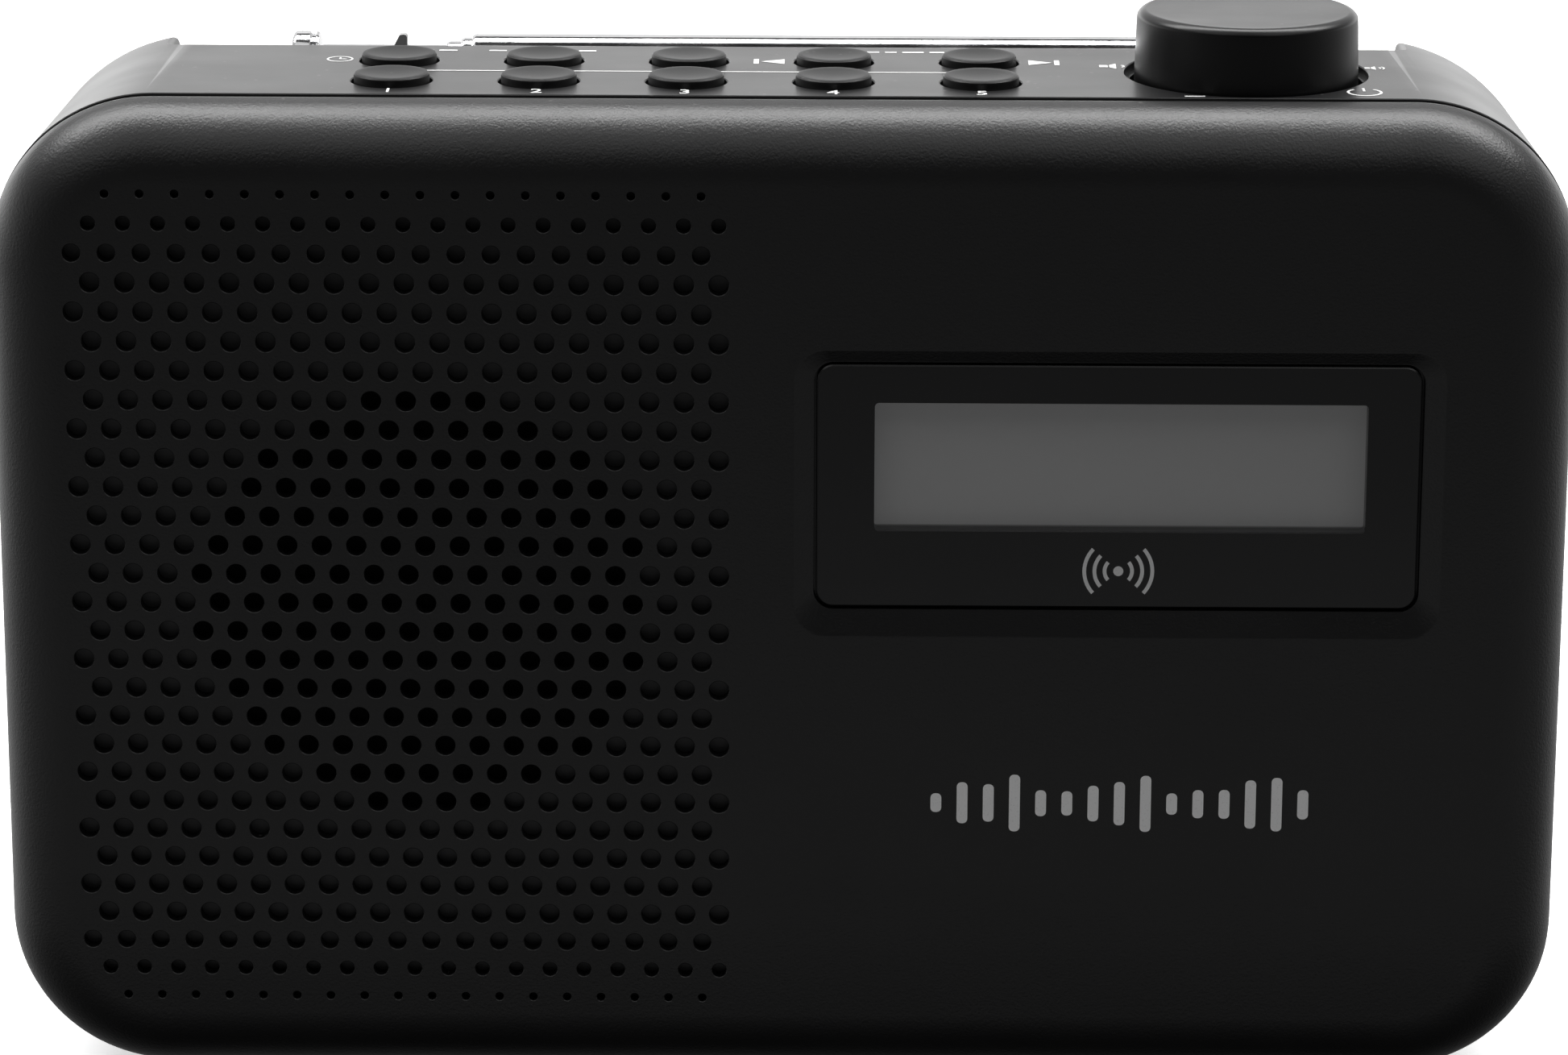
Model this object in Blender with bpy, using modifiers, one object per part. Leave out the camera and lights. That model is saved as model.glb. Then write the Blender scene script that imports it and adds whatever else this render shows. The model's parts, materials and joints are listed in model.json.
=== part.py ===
"""Tabletop radio: a moulded case with a perforated front, a display window, a top row of push
buttons with a press-and-turn knob, and a telescopic aerial folded into a bay along the rear top edge.

Metres, +Z up, -Y is the front. The origin is under the middle of the case, on the surface it stands on.
"""

import math

import bmesh
import bpy
from mathutils import Matrix, Vector

# Case
WIDTH = 0.187
HEIGHT = 0.120
DEPTH = 0.056
FOOT_PROUD = 0.001
CORNER_R = 0.0195
FRONT_ROUND = 0.009
REAR_ROUND = 0.013
SEAM_DEPTH = 0.0095
WALL = 0.0022
GAP = 0.0003
CORNER_STEPS = 6
ROUND_STEPS = 5

FRONT_Y = -DEPTH / 2
REAR_Y = DEPTH / 2
BASE_Z = FOOT_PROUD
TOP_Z = BASE_Z + HEIGHT
MID_Z = BASE_Z + HEIGHT / 2
SEAM_Y = FRONT_Y + SEAM_DEPTH
CASING_Y = SEAM_Y + GAP

# Perforated front: staggered rows of holes behind which the loudspeaker sits
HOLE_PITCH = 0.00408
HOLE_D = 0.0024
GRILLE_X = -0.0424
GRILLE_Z = MID_Z + 0.0006
GRILLE_R = 6.475 * HOLE_PITCH

# Display window in a shallow sloped recess
WINDOW_X = 0.03965
WINDOW_Z = MID_Z + 0.01505
WINDOW_W = 0.0710
WINDOW_H = 0.0296
WINDOW_STEP = 0.0010
WINDOW_LIP = 0.0015
RAMP_LEFT = 0.0025
RAMP_RIGHT = 0.0026
RAMP_BELOW = 0.0032
RAMP_ABOVE = 0.0017
GLASS_W = 0.064
GLASS_H = 0.024
GLASS_Z = MID_Z + 0.0174
GLASS_X = 0.03995

# Buttons
BUTTON_D = 0.0090
BUTTON_HOLE_D = 0.0097
BUTTON_PROUD = 0.0010
BUTTON_TRAVEL = 0.0008
BUTTON_PITCH = 0.01747
BUTTON_X = -0.0465
BUTTON_COLUMNS = 5
BUTTON_ROWS = (-0.0100, 0.0021)
FLANGE_R = 0.0053
FLANGE_DROP = 0.0004
FLANGE_THICK = 0.0008
BUTTON_NUB = 0.0016
MAT_TOP = TOP_Z - WALL - FLANGE_DROP - BUTTON_NUB - BUTTON_TRAVEL - GAP
MAT_THICK = 0.0012

# Knob, on a rotary encoder that also presses
KNOB_X = 0.0552
KNOB_Y = -0.0032
KNOB_D = 0.0271
KNOB_TOP_D = 0.0262
KNOB_PROUD = 0.0077
KNOB_ROUND = 0.0011
KNOB_TRAVEL = 0.0007
WELL_R = 0.0146
WELL_DEPTH = 0.005
WELL_WALL = 0.0015
SHAFT_R = 0.003
BUSH_R = 0.0044

# Loudspeaker
SPEAKER_R = 0.029
COIL_R = 0.0073
MAGNET_R = 0.016

# Aerial bay and telescopic aerial
BAY_X = 0.075
BAY_Y = 0.0125
BAY_DEPTH = 0.0075
AERIAL_Y = 0.0165
AERIAL_Z = TOP_Z - 0.0026
PIVOT_X = 0.066
TUBE_R = (0.0030, 0.00255, 0.0021, 0.00165)
TUBE_LEFT = (-0.0386, -0.0400, -0.0418, -0.0570)
TUBE_RIGHT = (0.0618, 0.0540, 0.0530, 0.0520)
TUBE_WALL = 0.0003
TIP_R = 0.0033
TIP_LENGTH = 0.004
FORK_R = 0.0035
TONGUE_HALF = 0.0012

# Battery compartment
BATTERY_X = (0.000, 0.060)
BATTERY_Z = (0.030, 0.083)
BATTERY_DEPTH = 0.017
DOOR_X = (-0.0016, 0.0616)
DOOR_TOP = 0.0846
DOOR_THICK = 0.0021
DOOR_AXIS_Z = 0.02865
DOOR_RECESS = 0.0026

# Fixings, sockets and feet
SCREW_X = 0.070
SCREW_Z = (0.024, 0.098)
POST_R = 0.0044
SCREW_HEAD_R = 0.0028
SCREW_HEAD_Y = 0.0063
SOCKET_Z = 0.028
HEADPHONE_X = -0.052
POWER_X = -0.032
FOOT_R = 0.005
FOOT_X = 0.068
FOOT_Y = (-0.0120, 0.0065)
FOOT_RECESS = 0.0008

AXIS_TURN = {
    "Z": Matrix.Identity(4),
    "Y": Matrix.Rotation(math.radians(-90), 4, "X"),
    "X": Matrix.Rotation(math.radians(90), 4, "Y"),
}


def clear_scene():
    for obj in list(bpy.data.objects):
        bpy.data.objects.remove(obj, do_unlink=True)


def new_collection(name):
    collection = bpy.data.collections.new(name)
    bpy.context.scene.collection.children.link(collection)
    return collection


def new_material(name, colour, roughness, metallic=0.0):
    material = bpy.data.materials.new(name)
    material.use_nodes = True
    shader = material.node_tree.nodes["Principled BSDF"]
    shader.inputs["Base Color"].default_value = (*colour, 1.0)
    shader.inputs["Roughness"].default_value = roughness
    shader.inputs["Metallic"].default_value = metallic
    return material


clear_scene()
PARTS = new_collection("tabletop_radio")
HELPERS = new_collection("cutters")
BLACK_PLASTIC = new_material("satin_black_plastic", (0.012, 0.012, 0.013), 0.42)
KNOB_PLASTIC = new_material("knob_black_plastic", (0.010, 0.010, 0.011), 0.38)
WINDOW_PLASTIC = new_material("smoked_window", (0.010, 0.010, 0.011), 0.08)
LCD_GLASS = new_material("grey_display_glass", (0.08, 0.08, 0.08), 0.25)
LIGHT_GUIDE = new_material("light_guide", (0.80, 0.80, 0.78), 0.30)
BOARD = new_material("circuit_board", (0.02, 0.11, 0.05), 0.50)
CHROME = new_material("chrome", (0.80, 0.80, 0.81), 0.08, 1.0)
STEEL = new_material("plated_steel", (0.55, 0.55, 0.56), 0.30, 1.0)
RUBBER = new_material("black_rubber", (0.018, 0.018, 0.018), 0.80)
PAPER = new_material("coated_paper_cone", (0.035, 0.035, 0.035), 0.75)
CLOTH = new_material("dust_cloth", (0.010, 0.010, 0.010), 0.95)
MAGNET = new_material("ferrite_magnet", (0.05, 0.05, 0.055), 0.60)
SOCKET = new_material("socket_plastic", (0.02, 0.02, 0.02), 0.50)
WIRE = new_material("wire_sleeve", (0.30, 0.02, 0.02), 0.50)


def add_object(name, bm, location=(0, 0, 0), material=None, parent=None):
    """A mesh object from bm. With no material it is a helper that never shows."""
    mesh = bpy.data.meshes.new(name)
    bm.to_mesh(mesh)
    bm.free()
    obj = bpy.data.objects.new(name, mesh)
    origin = parent.location if parent else Vector()
    obj.location = Vector(location) - origin
    obj.parent = parent
    if material:
        PARTS.objects.link(obj)
        mesh.materials.append(material)
        mesh.shade_smooth()
        mesh.set_sharp_from_angle(angle=math.radians(35))
    else:
        HELPERS.objects.link(obj)
        obj.hide_render = True
        obj.display_type = "WIRE"
    return obj


def add_axis(name, location):
    """An empty on a joint's axis, for the moving pieces to hang from."""
    empty = bpy.data.objects.new(name, None)
    empty.location = location
    empty.empty_display_size = 0.01
    PARTS.objects.link(empty)
    return empty


def box_mesh(size):
    bm = bmesh.new()
    bmesh.ops.create_cube(bm, size=1.0)
    bmesh.ops.scale(bm, vec=size, verts=bm.verts)
    return bm


def box(name, low, high, material=None, parent=None, rounding=0.0):
    low = Vector(low)
    high = Vector(high)
    obj = add_object(name, box_mesh(high - low), (low + high) / 2, material, parent)
    if rounding:
        bevel = obj.modifiers.new("rounded_edges", "BEVEL")
        bevel.width = rounding
        bevel.segments = 2
        bevel.limit_method = "ANGLE"
    return obj


def add_cylinder(bm, centre, radius, length, axis, segments):
    """A closed cylinder in bm, centred at centre, along a row axis."""
    bmesh.ops.create_cone(
        bm,
        cap_ends=True,
        segments=segments,
        radius1=radius,
        radius2=radius,
        depth=length,
        matrix=Matrix.Translation(centre) @ AXIS_TURN[axis],
    )


def cylinder(name, centre, radius, length, axis="Z", segments=16, material=None, parent=None):
    bm = bmesh.new()
    add_cylinder(bm, (0, 0, 0), radius, length, axis, segments)
    return add_object(name, bm, centre, material, parent)


def cylinders(name, centres, radius, length, axis="Z", segments=16):
    """One helper that holds a separate cylinder at each centre."""
    bm = bmesh.new()
    for centre in centres:
        add_cylinder(bm, centre, radius, length, axis, segments)
    return add_object(name, bm)


def turned(name, profile, location, axis, segments, material, parent=None):
    """A turned piece. profile is (radius, height) pairs down its outer side and back up the inner one.

    A profile that starts and ends on the axis is a solid, and any other is closed into a ring.
    """
    bm = bmesh.new()
    points = [bm.verts.new((radius, 0, height)) for radius, height in profile]
    for start, end in zip(points, points[1:]):
        bm.edges.new((start, end))
    if profile[0][0] > 0:
        bm.edges.new((points[-1], points[0]))
    obj = add_object(name, bm, location, material, parent)
    obj.rotation_euler = AXIS_TURN[axis].to_euler()
    screw = obj.modifiers.new("turned", "SCREW")
    screw.axis = "Z"
    screw.steps = segments
    screw.render_steps = segments
    screw.use_merge_vertices = True
    screw.merge_threshold = 0.00001
    return obj


def wire(name, points, radius, material):
    """A round wire through points, as a smooth path read at even steps."""
    path = smooth_path([Vector(point) for point in points], 3)
    curve = bpy.data.curves.new(name, "CURVE")
    curve.dimensions = "3D"
    curve.bevel_depth = radius
    curve.bevel_resolution = 2
    curve.use_fill_caps = True
    spline = curve.splines.new("POLY")
    spline.points.add(len(path) - 1)
    for point, place in zip(spline.points, path):
        point.co = (*place, 1.0)
    curve.materials.append(material)
    obj = bpy.data.objects.new(name, curve)
    PARTS.objects.link(obj)
    return obj


def smooth_path(points, steps):
    """Points along a curve that passes through every given point, steps to a stretch."""
    ends = [points[0], *points, points[-1]]
    path = [points[0]]
    for before, start, end, after in zip(ends, ends[1:], ends[2:], ends[3:]):
        for step in range(1, steps + 1):
            t = step / steps
            path.append(
                0.5
                * (
                    2 * start
                    + (end - before) * t
                    + (2 * before - 5 * start + 4 * end - after) * t**2
                    + (3 * start - before - 3 * end + after) * t**3
                )
            )
    return path


def combine(target, operation, *others):
    for other in others:
        modifier = target.modifiers.new(f"{operation.lower()}_{other.name}", "BOOLEAN")
        modifier.operation = operation
        modifier.object = other
        modifier.solver = "EXACT"
    return target


def case_block(inset, front, rear, rounded_end, end_round):
    """The case's outline as a block between two depths, with one end's edge rounded."""
    bm = box_mesh((WIDTH - 2 * inset, rear - front, HEIGHT - 2 * inset))
    bmesh.ops.translate(bm, vec=(0, (front + rear) / 2, MID_Z), verts=bm.verts)
    uprights = [edge for edge in bm.edges if abs(edge.verts[0].co.y - edge.verts[1].co.y) > GAP]
    bmesh.ops.bevel(
        bm, geom=uprights, offset=CORNER_R - inset, segments=CORNER_STEPS, profile=0.5, affect="EDGES"
    )
    rim = [edge for edge in bm.edges if all(abs(v.co.y - rounded_end) < GAP / 3 for v in edge.verts)]
    bmesh.ops.bevel(
        bm, geom=rim, offset=end_round, segments=ROUND_STEPS, profile=0.5, affect="EDGES"
    )
    return bm


def half_shell(name, front, rear, rounded_end, end_round):
    """One moulded half of the case: the block's skin, open at the seam, with its wall inside."""
    bm = case_block(0.0, front, rear, rounded_end, end_round)
    open_end = front if rounded_end == rear else rear
    lid = [face for face in bm.faces if all(abs(v.co.y - open_end) < GAP / 3 for v in face.verts)]
    bmesh.ops.delete(bm, geom=lid, context="FACES")
    shell = add_object(name, bm, material=BLACK_PLASTIC)
    wall = shell.modifiers.new("wall", "SOLIDIFY")
    wall.thickness = WALL
    wall.offset = -1
    wall.use_even_offset = True
    return shell


def screw_places(y):
    return [(x, y, z) for x in (-SCREW_X, SCREW_X) for z in SCREW_Z]


def foot_places(z):
    return [(x, y, z) for y in FOOT_Y for x in (-FOOT_X, FOOT_X)]


def button_places():
    """Button centres on the top panel: the front row left to right, then the rear row."""
    return [
        (BUTTON_X + column * BUTTON_PITCH, y) for y in BUTTON_ROWS for column in range(BUTTON_COLUMNS)
    ]


def grille_places(y):
    """Centres of the through holes: the staggered grid's points inside the loudspeaker's circle."""
    row_pitch = HOLE_PITCH * math.sqrt(3) / 2
    rows = int(GRILLE_R / row_pitch)
    columns = int(GRILLE_R / HOLE_PITCH) + 1
    places = []
    for row in range(-rows, rows + 1):
        shift = 0.1 if row % 2 == 0 else -0.4
        for column in range(-columns, columns + 2):
            x = (column + shift) * HOLE_PITCH
            if math.hypot(x, row * row_pitch) < GRILLE_R:
                places.append((GRILLE_X + x, y, GRILLE_Z + row * row_pitch))
    return places


def window_ramp():
    """The sloped recess round the display window, a block that narrows inwards."""
    half_w = WINDOW_W / 2 + GAP
    half_h = WINDOW_H / 2 + GAP
    bm = box_mesh((2, 2, 2))
    for vert in bm.verts:
        outer = vert.co.y < 0
        right = vert.co.x > 0
        above = vert.co.z > 0
        grow_x = (RAMP_RIGHT if right else RAMP_LEFT) if outer else 0.0
        grow_z = (RAMP_ABOVE if above else RAMP_BELOW) if outer else 0.0
        vert.co.x = WINDOW_X + (half_w + grow_x if right else -half_w - grow_x)
        vert.co.z = WINDOW_Z + (half_h + grow_z if above else -half_h - grow_z)
        vert.co.y = FRONT_Y - GAP / 10 if outer else FRONT_Y + WINDOW_STEP
    return add_object("window_ramp_cutter", bm)


def window_block(name, low_y, high_y, grow, material=None, rounding=0.0):
    half_w = WINDOW_W / 2 + grow
    half_h = WINDOW_H / 2 + grow
    return box(
        name,
        (WINDOW_X - half_w, low_y, WINDOW_Z - half_h),
        (WINDOW_X + half_w, high_y, WINDOW_Z + half_h),
        material,
        rounding=rounding,
    )


def make_front_shell():
    shell = half_shell("front_shell", FRONT_Y, SEAM_Y, FRONT_Y, FRONT_ROUND)
    inner = FRONT_Y + WALL
    post_end = SEAM_Y + 0.0006
    post_start = inner - WALL / 2
    posts = cylinders(
        "front_posts", screw_places((post_start + post_end) / 2), 0.0036, post_end - post_start, "Y", 12
    )
    pilots = cylinders("front_pilots", screw_places(post_end - 0.003), 0.0016, 0.0075, "Y", 12)
    holes = cylinders("grille_cutter", grille_places(FRONT_Y + WALL / 2), HOLE_D / 2, 3 * WALL, "Y", 6)
    opening = window_block("window_cutter", FRONT_Y - WALL, inner + WALL, GAP)
    combine(shell, "UNION", posts)
    combine(shell, "DIFFERENCE", pilots, holes, window_ramp(), opening)


def casing_core():
    """What an inner block of the rear casing is trimmed to, so that it ends inside the wall."""
    rear = REAR_Y - WALL / 2
    bm = case_block(WALL / 2, CASING_Y + GAP / 3, rear, rear, REAR_ROUND - WALL / 2)
    return add_object("casing_core", bm)


def make_rear_casing():
    casing = half_shell("rear_casing", CASING_Y, REAR_Y, REAR_Y, REAR_ROUND)
    core = casing_core()
    floor_z = TOP_Z - BAY_DEPTH
    well_floor = TOP_Z - WELL_DEPTH
    bay_block = box(
        "bay_block",
        (-BAY_X - WALL, BAY_Y - WALL + GAP, floor_z - WALL),
        (BAY_X + WALL, REAR_Y + WALL, TOP_Z + WALL),
    )
    battery_block = box(
        "battery_block",
        (BATTERY_X[0] - 0.0036, REAR_Y - BATTERY_DEPTH - 0.0016, BATTERY_Z[0] - 0.0036),
        (BATTERY_X[1] + 0.0036, REAR_Y + WALL, BATTERY_Z[1] + 0.0034),
    )
    cup_low = well_floor - WELL_WALL
    well_block = cylinder(
        "well_block",
        (KNOB_X, KNOB_Y, (cup_low + TOP_Z) / 2),
        WELL_R + WELL_WALL,
        TOP_Z - cup_low,
        segments=40,
    )
    post_low = CASING_Y + 0.0006
    posts = cylinders(
        "casing_posts", screw_places((post_low + REAR_Y) / 2), POST_R, REAR_Y - post_low, "Y", 16
    )
    for block in (bay_block, battery_block, well_block, posts):
        combine(block, "INTERSECT", core)
    combine(casing, "UNION", bay_block, battery_block, well_block, posts)

    bay = box("bay_cutter", (-BAY_X, BAY_Y, floor_z), (BAY_X, REAR_Y + WALL, TOP_Z + WALL))
    cells = box(
        "battery_cutter",
        (BATTERY_X[0], REAR_Y - BATTERY_DEPTH, BATTERY_Z[0]),
        (BATTERY_X[1], REAR_Y + WALL, BATTERY_Z[1]),
    )
    doorway = box(
        "doorway_cutter",
        (DOOR_X[0] - 0.0004, REAR_Y - DOOR_RECESS, DOOR_AXIS_Z - DOOR_THICK / 2 - 0.0004),
        (DOOR_X[1] + 0.0004, REAR_Y + WALL, DOOR_TOP + 0.0004),
    )
    pin_hole = cylinder(
        "door_pin_cutter", door_axis(), 0.0009, DOOR_X[1] - DOOR_X[0] + 0.0032, "X", segments=12
    )
    well = cylinder(
        "well_cutter", (KNOB_X, KNOB_Y, well_floor + WELL_DEPTH), WELL_R, 2 * WELL_DEPTH, segments=40
    )
    bush_hole = cylinder("bush_cutter", (KNOB_X, KNOB_Y, well_floor), BUSH_R + GAP, 0.008, segments=20)
    button_holes = cylinders(
        "button_cutter", [(x, y, TOP_Z) for x, y in button_places()], BUTTON_HOLE_D / 2, 3 * WALL, "Z", 14
    )
    shanks = cylinders("shank_cutter", screw_places(0.0), 0.0017, DEPTH, "Y", 12)
    recess_low = SCREW_HEAD_Y - GAP
    recesses = cylinders(
        "screw_recess_cutter",
        screw_places((recess_low + REAR_Y + WALL) / 2),
        0.0033,
        REAR_Y + WALL - recess_low,
        "Y",
        16,
    )
    sockets = cylinders(
        "socket_cutter", [(x, REAR_Y, SOCKET_Z) for x in (HEADPHONE_X, POWER_X)], 0.0039, 3 * WALL, "Y", 20
    )
    swivel_hole = cylinder(
        "swivel_cutter", (PIVOT_X, AERIAL_Y, floor_z), 0.0027, 3 * WALL, segments=16
    )
    feet = cylinders("foot_cutter", foot_places(BASE_Z), FOOT_R + 0.0004, 2 * FOOT_RECESS, "Z", 20)
    combine(
        casing,
        "DIFFERENCE",
        bay,
        cells,
        doorway,
        pin_hole,
        well,
        bush_hole,
        button_holes,
        shanks,
        recesses,
        sockets,
        swivel_hole,
        feet,
    )


def door_axis():
    return ((DOOR_X[0] + DOOR_X[1]) / 2, REAR_Y - 0.0002 - DOOR_THICK / 2, DOOR_AXIS_Z)


def make_display():
    front = FRONT_Y + WINDOW_STEP
    inner = FRONT_Y + WALL + GAP
    window = window_block("display_window", front, inner, 0.0, WINDOW_PLASTIC)
    lip = window_block("window_lip", inner - GAP / 3, inner + 0.0009, WINDOW_LIP)
    combine(window, "UNION", lip)

    def plate(name, low_y, thick, grow, material):
        return box(
            name,
            (GLASS_X - GLASS_W / 2 - grow, low_y, GLASS_Z - GLASS_H / 2 - grow),
            (GLASS_X + GLASS_W / 2 + grow, low_y + thick, GLASS_Z + GLASS_H / 2 + grow),
            material,
        )

    frame_y = inner + 0.0009 + GAP
    frame = plate("lcd_frame", frame_y, 0.0055, 0.002, BLACK_PLASTIC)
    combine(frame, "DIFFERENCE", plate("lcd_frame_cutter", frame_y - GAP, 0.007, GAP, None))
    plate("lcd_panel", frame_y, 0.0022, 0.0, LCD_GLASS)
    plate("backlight", frame_y + 0.0025, 0.0030, 0.0, LIGHT_GUIDE)

    board_y = frame_y + 0.0058
    board = box("main_board", (-0.010, board_y, 0.030), (0.064, board_y + 0.0016, 0.0965), BOARD)
    rear = board_y + 0.0016 - GAP / 3
    parts = (
        ((0.004, 0.038), (0.022, 0.046), 0.0040),
        ((0.030, 0.036), (0.040, 0.046), 0.0025),
        ((0.046, 0.036), (0.058, 0.044), 0.0060),
        ((-0.006, 0.076), (0.004, 0.086), 0.0030),
    )
    for number, (low, high, tall) in enumerate(parts, 1):
        part = box(f"board_part_{number}", (low[0], rear, low[1]), (high[0], rear + tall, high[1]))
        combine(board, "UNION", part)
    low_y = board_y + 0.0016 + GAP
    box("tuner_module", (0.012, low_y, 0.054), (0.042, low_y + 0.003, 0.078), STEEL)


def make_buttons():
    base = TOP_Z - WALL - FLANGE_DROP
    crown = TOP_Z + BUTTON_PROUD - base
    radius = BUTTON_D / 2
    profile = [
        (0.0, crown - 0.00015),
        (radius - 0.0006, crown),
        (radius, crown - 0.0003),
        (radius, 0.0),
        (FLANGE_R, 0.0),
        (FLANGE_R, -FLANGE_THICK),
        (radius / 2, -FLANGE_THICK),
        (radius / 2, -BUTTON_NUB),
        (0.0, -BUTTON_NUB),
    ]
    for number, (x, y) in enumerate(button_places(), 1):
        turned(f"button_{number}", profile, (x, y, base), "Z", 12, BLACK_PLASTIC)

    left = BUTTON_X - 0.0085
    right = BUTTON_X + (BUTTON_COLUMNS - 1) * BUTTON_PITCH + 0.0085
    low_y = BUTTON_ROWS[0] - 0.0065
    high_y = BUTTON_ROWS[1] + 0.0055
    mat_low = MAT_TOP - MAT_THICK
    box("button_mat", (left, low_y, mat_low), (right, high_y, MAT_TOP), RUBBER)
    board_top = mat_low - GAP
    box("key_board", (left, low_y, board_top - 0.0016), (right + 0.004, high_y, board_top), BOARD)


def make_knob_and_encoder():
    press = add_axis("encoder_press_axis", (KNOB_X, KNOB_Y, TOP_Z))
    centre = Vector((KNOB_X, KNOB_Y, 0))
    skirt = TOP_Z - WELL_DEPTH + KNOB_TRAVEL + GAP
    top = TOP_Z + KNOB_PROUD
    bush_top = TOP_Z - WELL_DEPTH + 0.0012
    hub_low = bush_top + KNOB_TRAVEL + 0.0005
    shaft_top = TOP_Z + 0.0045
    outer = KNOB_D / 2
    outer_top = KNOB_TOP_D / 2
    profile = [
        (0.0, top),
        (outer_top - KNOB_ROUND, top),
        (outer_top - 0.29 * KNOB_ROUND, top - 0.29 * KNOB_ROUND),
        (outer_top, top - KNOB_ROUND),
        (outer, skirt),
        (outer - 0.0016, skirt),
        (outer_top - 0.0018, top - 0.0025),
        (0.0054, top - 0.0025),
        (0.0054, hub_low),
        (SHAFT_R + GAP, hub_low),
        (SHAFT_R + GAP, shaft_top + GAP),
        (0.0, shaft_top + GAP),
    ]
    turned("knob", profile, centre, "Z", 28, KNOB_PLASTIC, press)

    body_low = TOP_Z - 0.019
    body_high = body_low + 0.007
    cavity = body_low + 0.0012
    plunger_low = cavity + KNOB_TRAVEL + GAP
    plunger_high = plunger_low + 0.0012
    shaft_low = plunger_high + GAP
    cylinder(
        "encoder_shaft",
        centre + Vector((0, 0, (shaft_low + shaft_top) / 2)),
        SHAFT_R,
        shaft_top - shaft_low,
        segments=20,
        material=STEEL,
        parent=press,
    )
    cylinder(
        "encoder_plunger",
        centre + Vector((0, 0, (plunger_low + plunger_high) / 2)),
        SHAFT_R,
        plunger_high - plunger_low,
        segments=20,
        material=SOCKET,
        parent=press,
    )
    half = 0.0062
    body = box(
        "encoder_body",
        (KNOB_X - half, KNOB_Y - half, body_low),
        (KNOB_X + half, KNOB_Y + half, body_high),
        STEEL,
    )
    bush_low = body_high - 0.001
    bush = cylinder(
        "encoder_bush", centre + Vector((0, 0, (bush_low + bush_top) / 2)), BUSH_R, bush_top - bush_low
    )
    bore = cylinder(
        "encoder_bore",
        centre + Vector((0, 0, (cavity + bush_top + GAP) / 2)),
        SHAFT_R + 0.0004,
        bush_top + GAP - cavity,
        segments=20,
    )
    combine(body, "UNION", bush)
    combine(body, "DIFFERENCE", bore)
    board_top = body_low - GAP
    board_half = 0.009
    box(
        "encoder_board",
        (KNOB_X - board_half, KNOB_Y - board_half, board_top - 0.0016),
        (KNOB_X + board_half, KNOB_Y + board_half, board_top),
        BOARD,
    )


def make_loudspeaker():
    """Turned pieces about the loudspeaker's axis, with heights measured back from the cloth."""
    cloth_y = FRONT_Y + WALL + GAP
    centre = (GRILLE_X, cloth_y, GRILLE_Z)
    rear = 0.0195
    turned("speaker_cloth", [(0, 0.0003), (0.0285, 0.0003), (0.0285, 0), (0, 0)], centre, "Y", 24, CLOTH)
    basket = [
        (0.0155, rear),
        (0.0262, 0.0040),
        (SPEAKER_R, 0.0030),
        (SPEAKER_R, 0.0006),
        (0.0272, 0.0006),
        (0.0272, 0.0022),
        (0.0250, 0.0038),
        (0.0115, rear - 0.0010),
        (0.0115, rear),
    ]
    turned("speaker_frame", basket, centre, "Y", 20, STEEL)
    surround = [(0.0268, 0.0018), (0.0268, 0.0010), (0.0245, 0.0006), (0.0225, 0.0012), (0.0225, 0.0018)]
    turned("speaker_surround", surround, centre, "Y", 20, RUBBER)
    axis = add_axis("speaker_cone_axis", centre)
    cone = [
        (0.0, 0.0112),
        (COIL_R - 0.0003, 0.0132),
        (COIL_R - 0.0003, 0.0215),
        (COIL_R + 0.0003, 0.0215),
        (COIL_R + 0.0003, 0.0138),
        (0.0220, 0.0035),
        (0.0220, 0.0028),
        (COIL_R, 0.0126),
        (0.0, 0.0106),
    ]
    turned("speaker_cone", cone, centre, "Y", 20, PAPER, axis)
    magnet = [
        (0.0, 0.0330),
        (MAGNET_R, 0.0330),
        (MAGNET_R, rear + GAP),
        (COIL_R + 0.0008, rear + GAP),
        (COIL_R + 0.0008, 0.0240),
        (COIL_R - 0.0008, 0.0240),
        (COIL_R - 0.0008, rear + GAP),
        (0.0, rear + GAP),
    ]
    turned("speaker_magnet", magnet, centre, "Y", 20, MAGNET)


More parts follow.
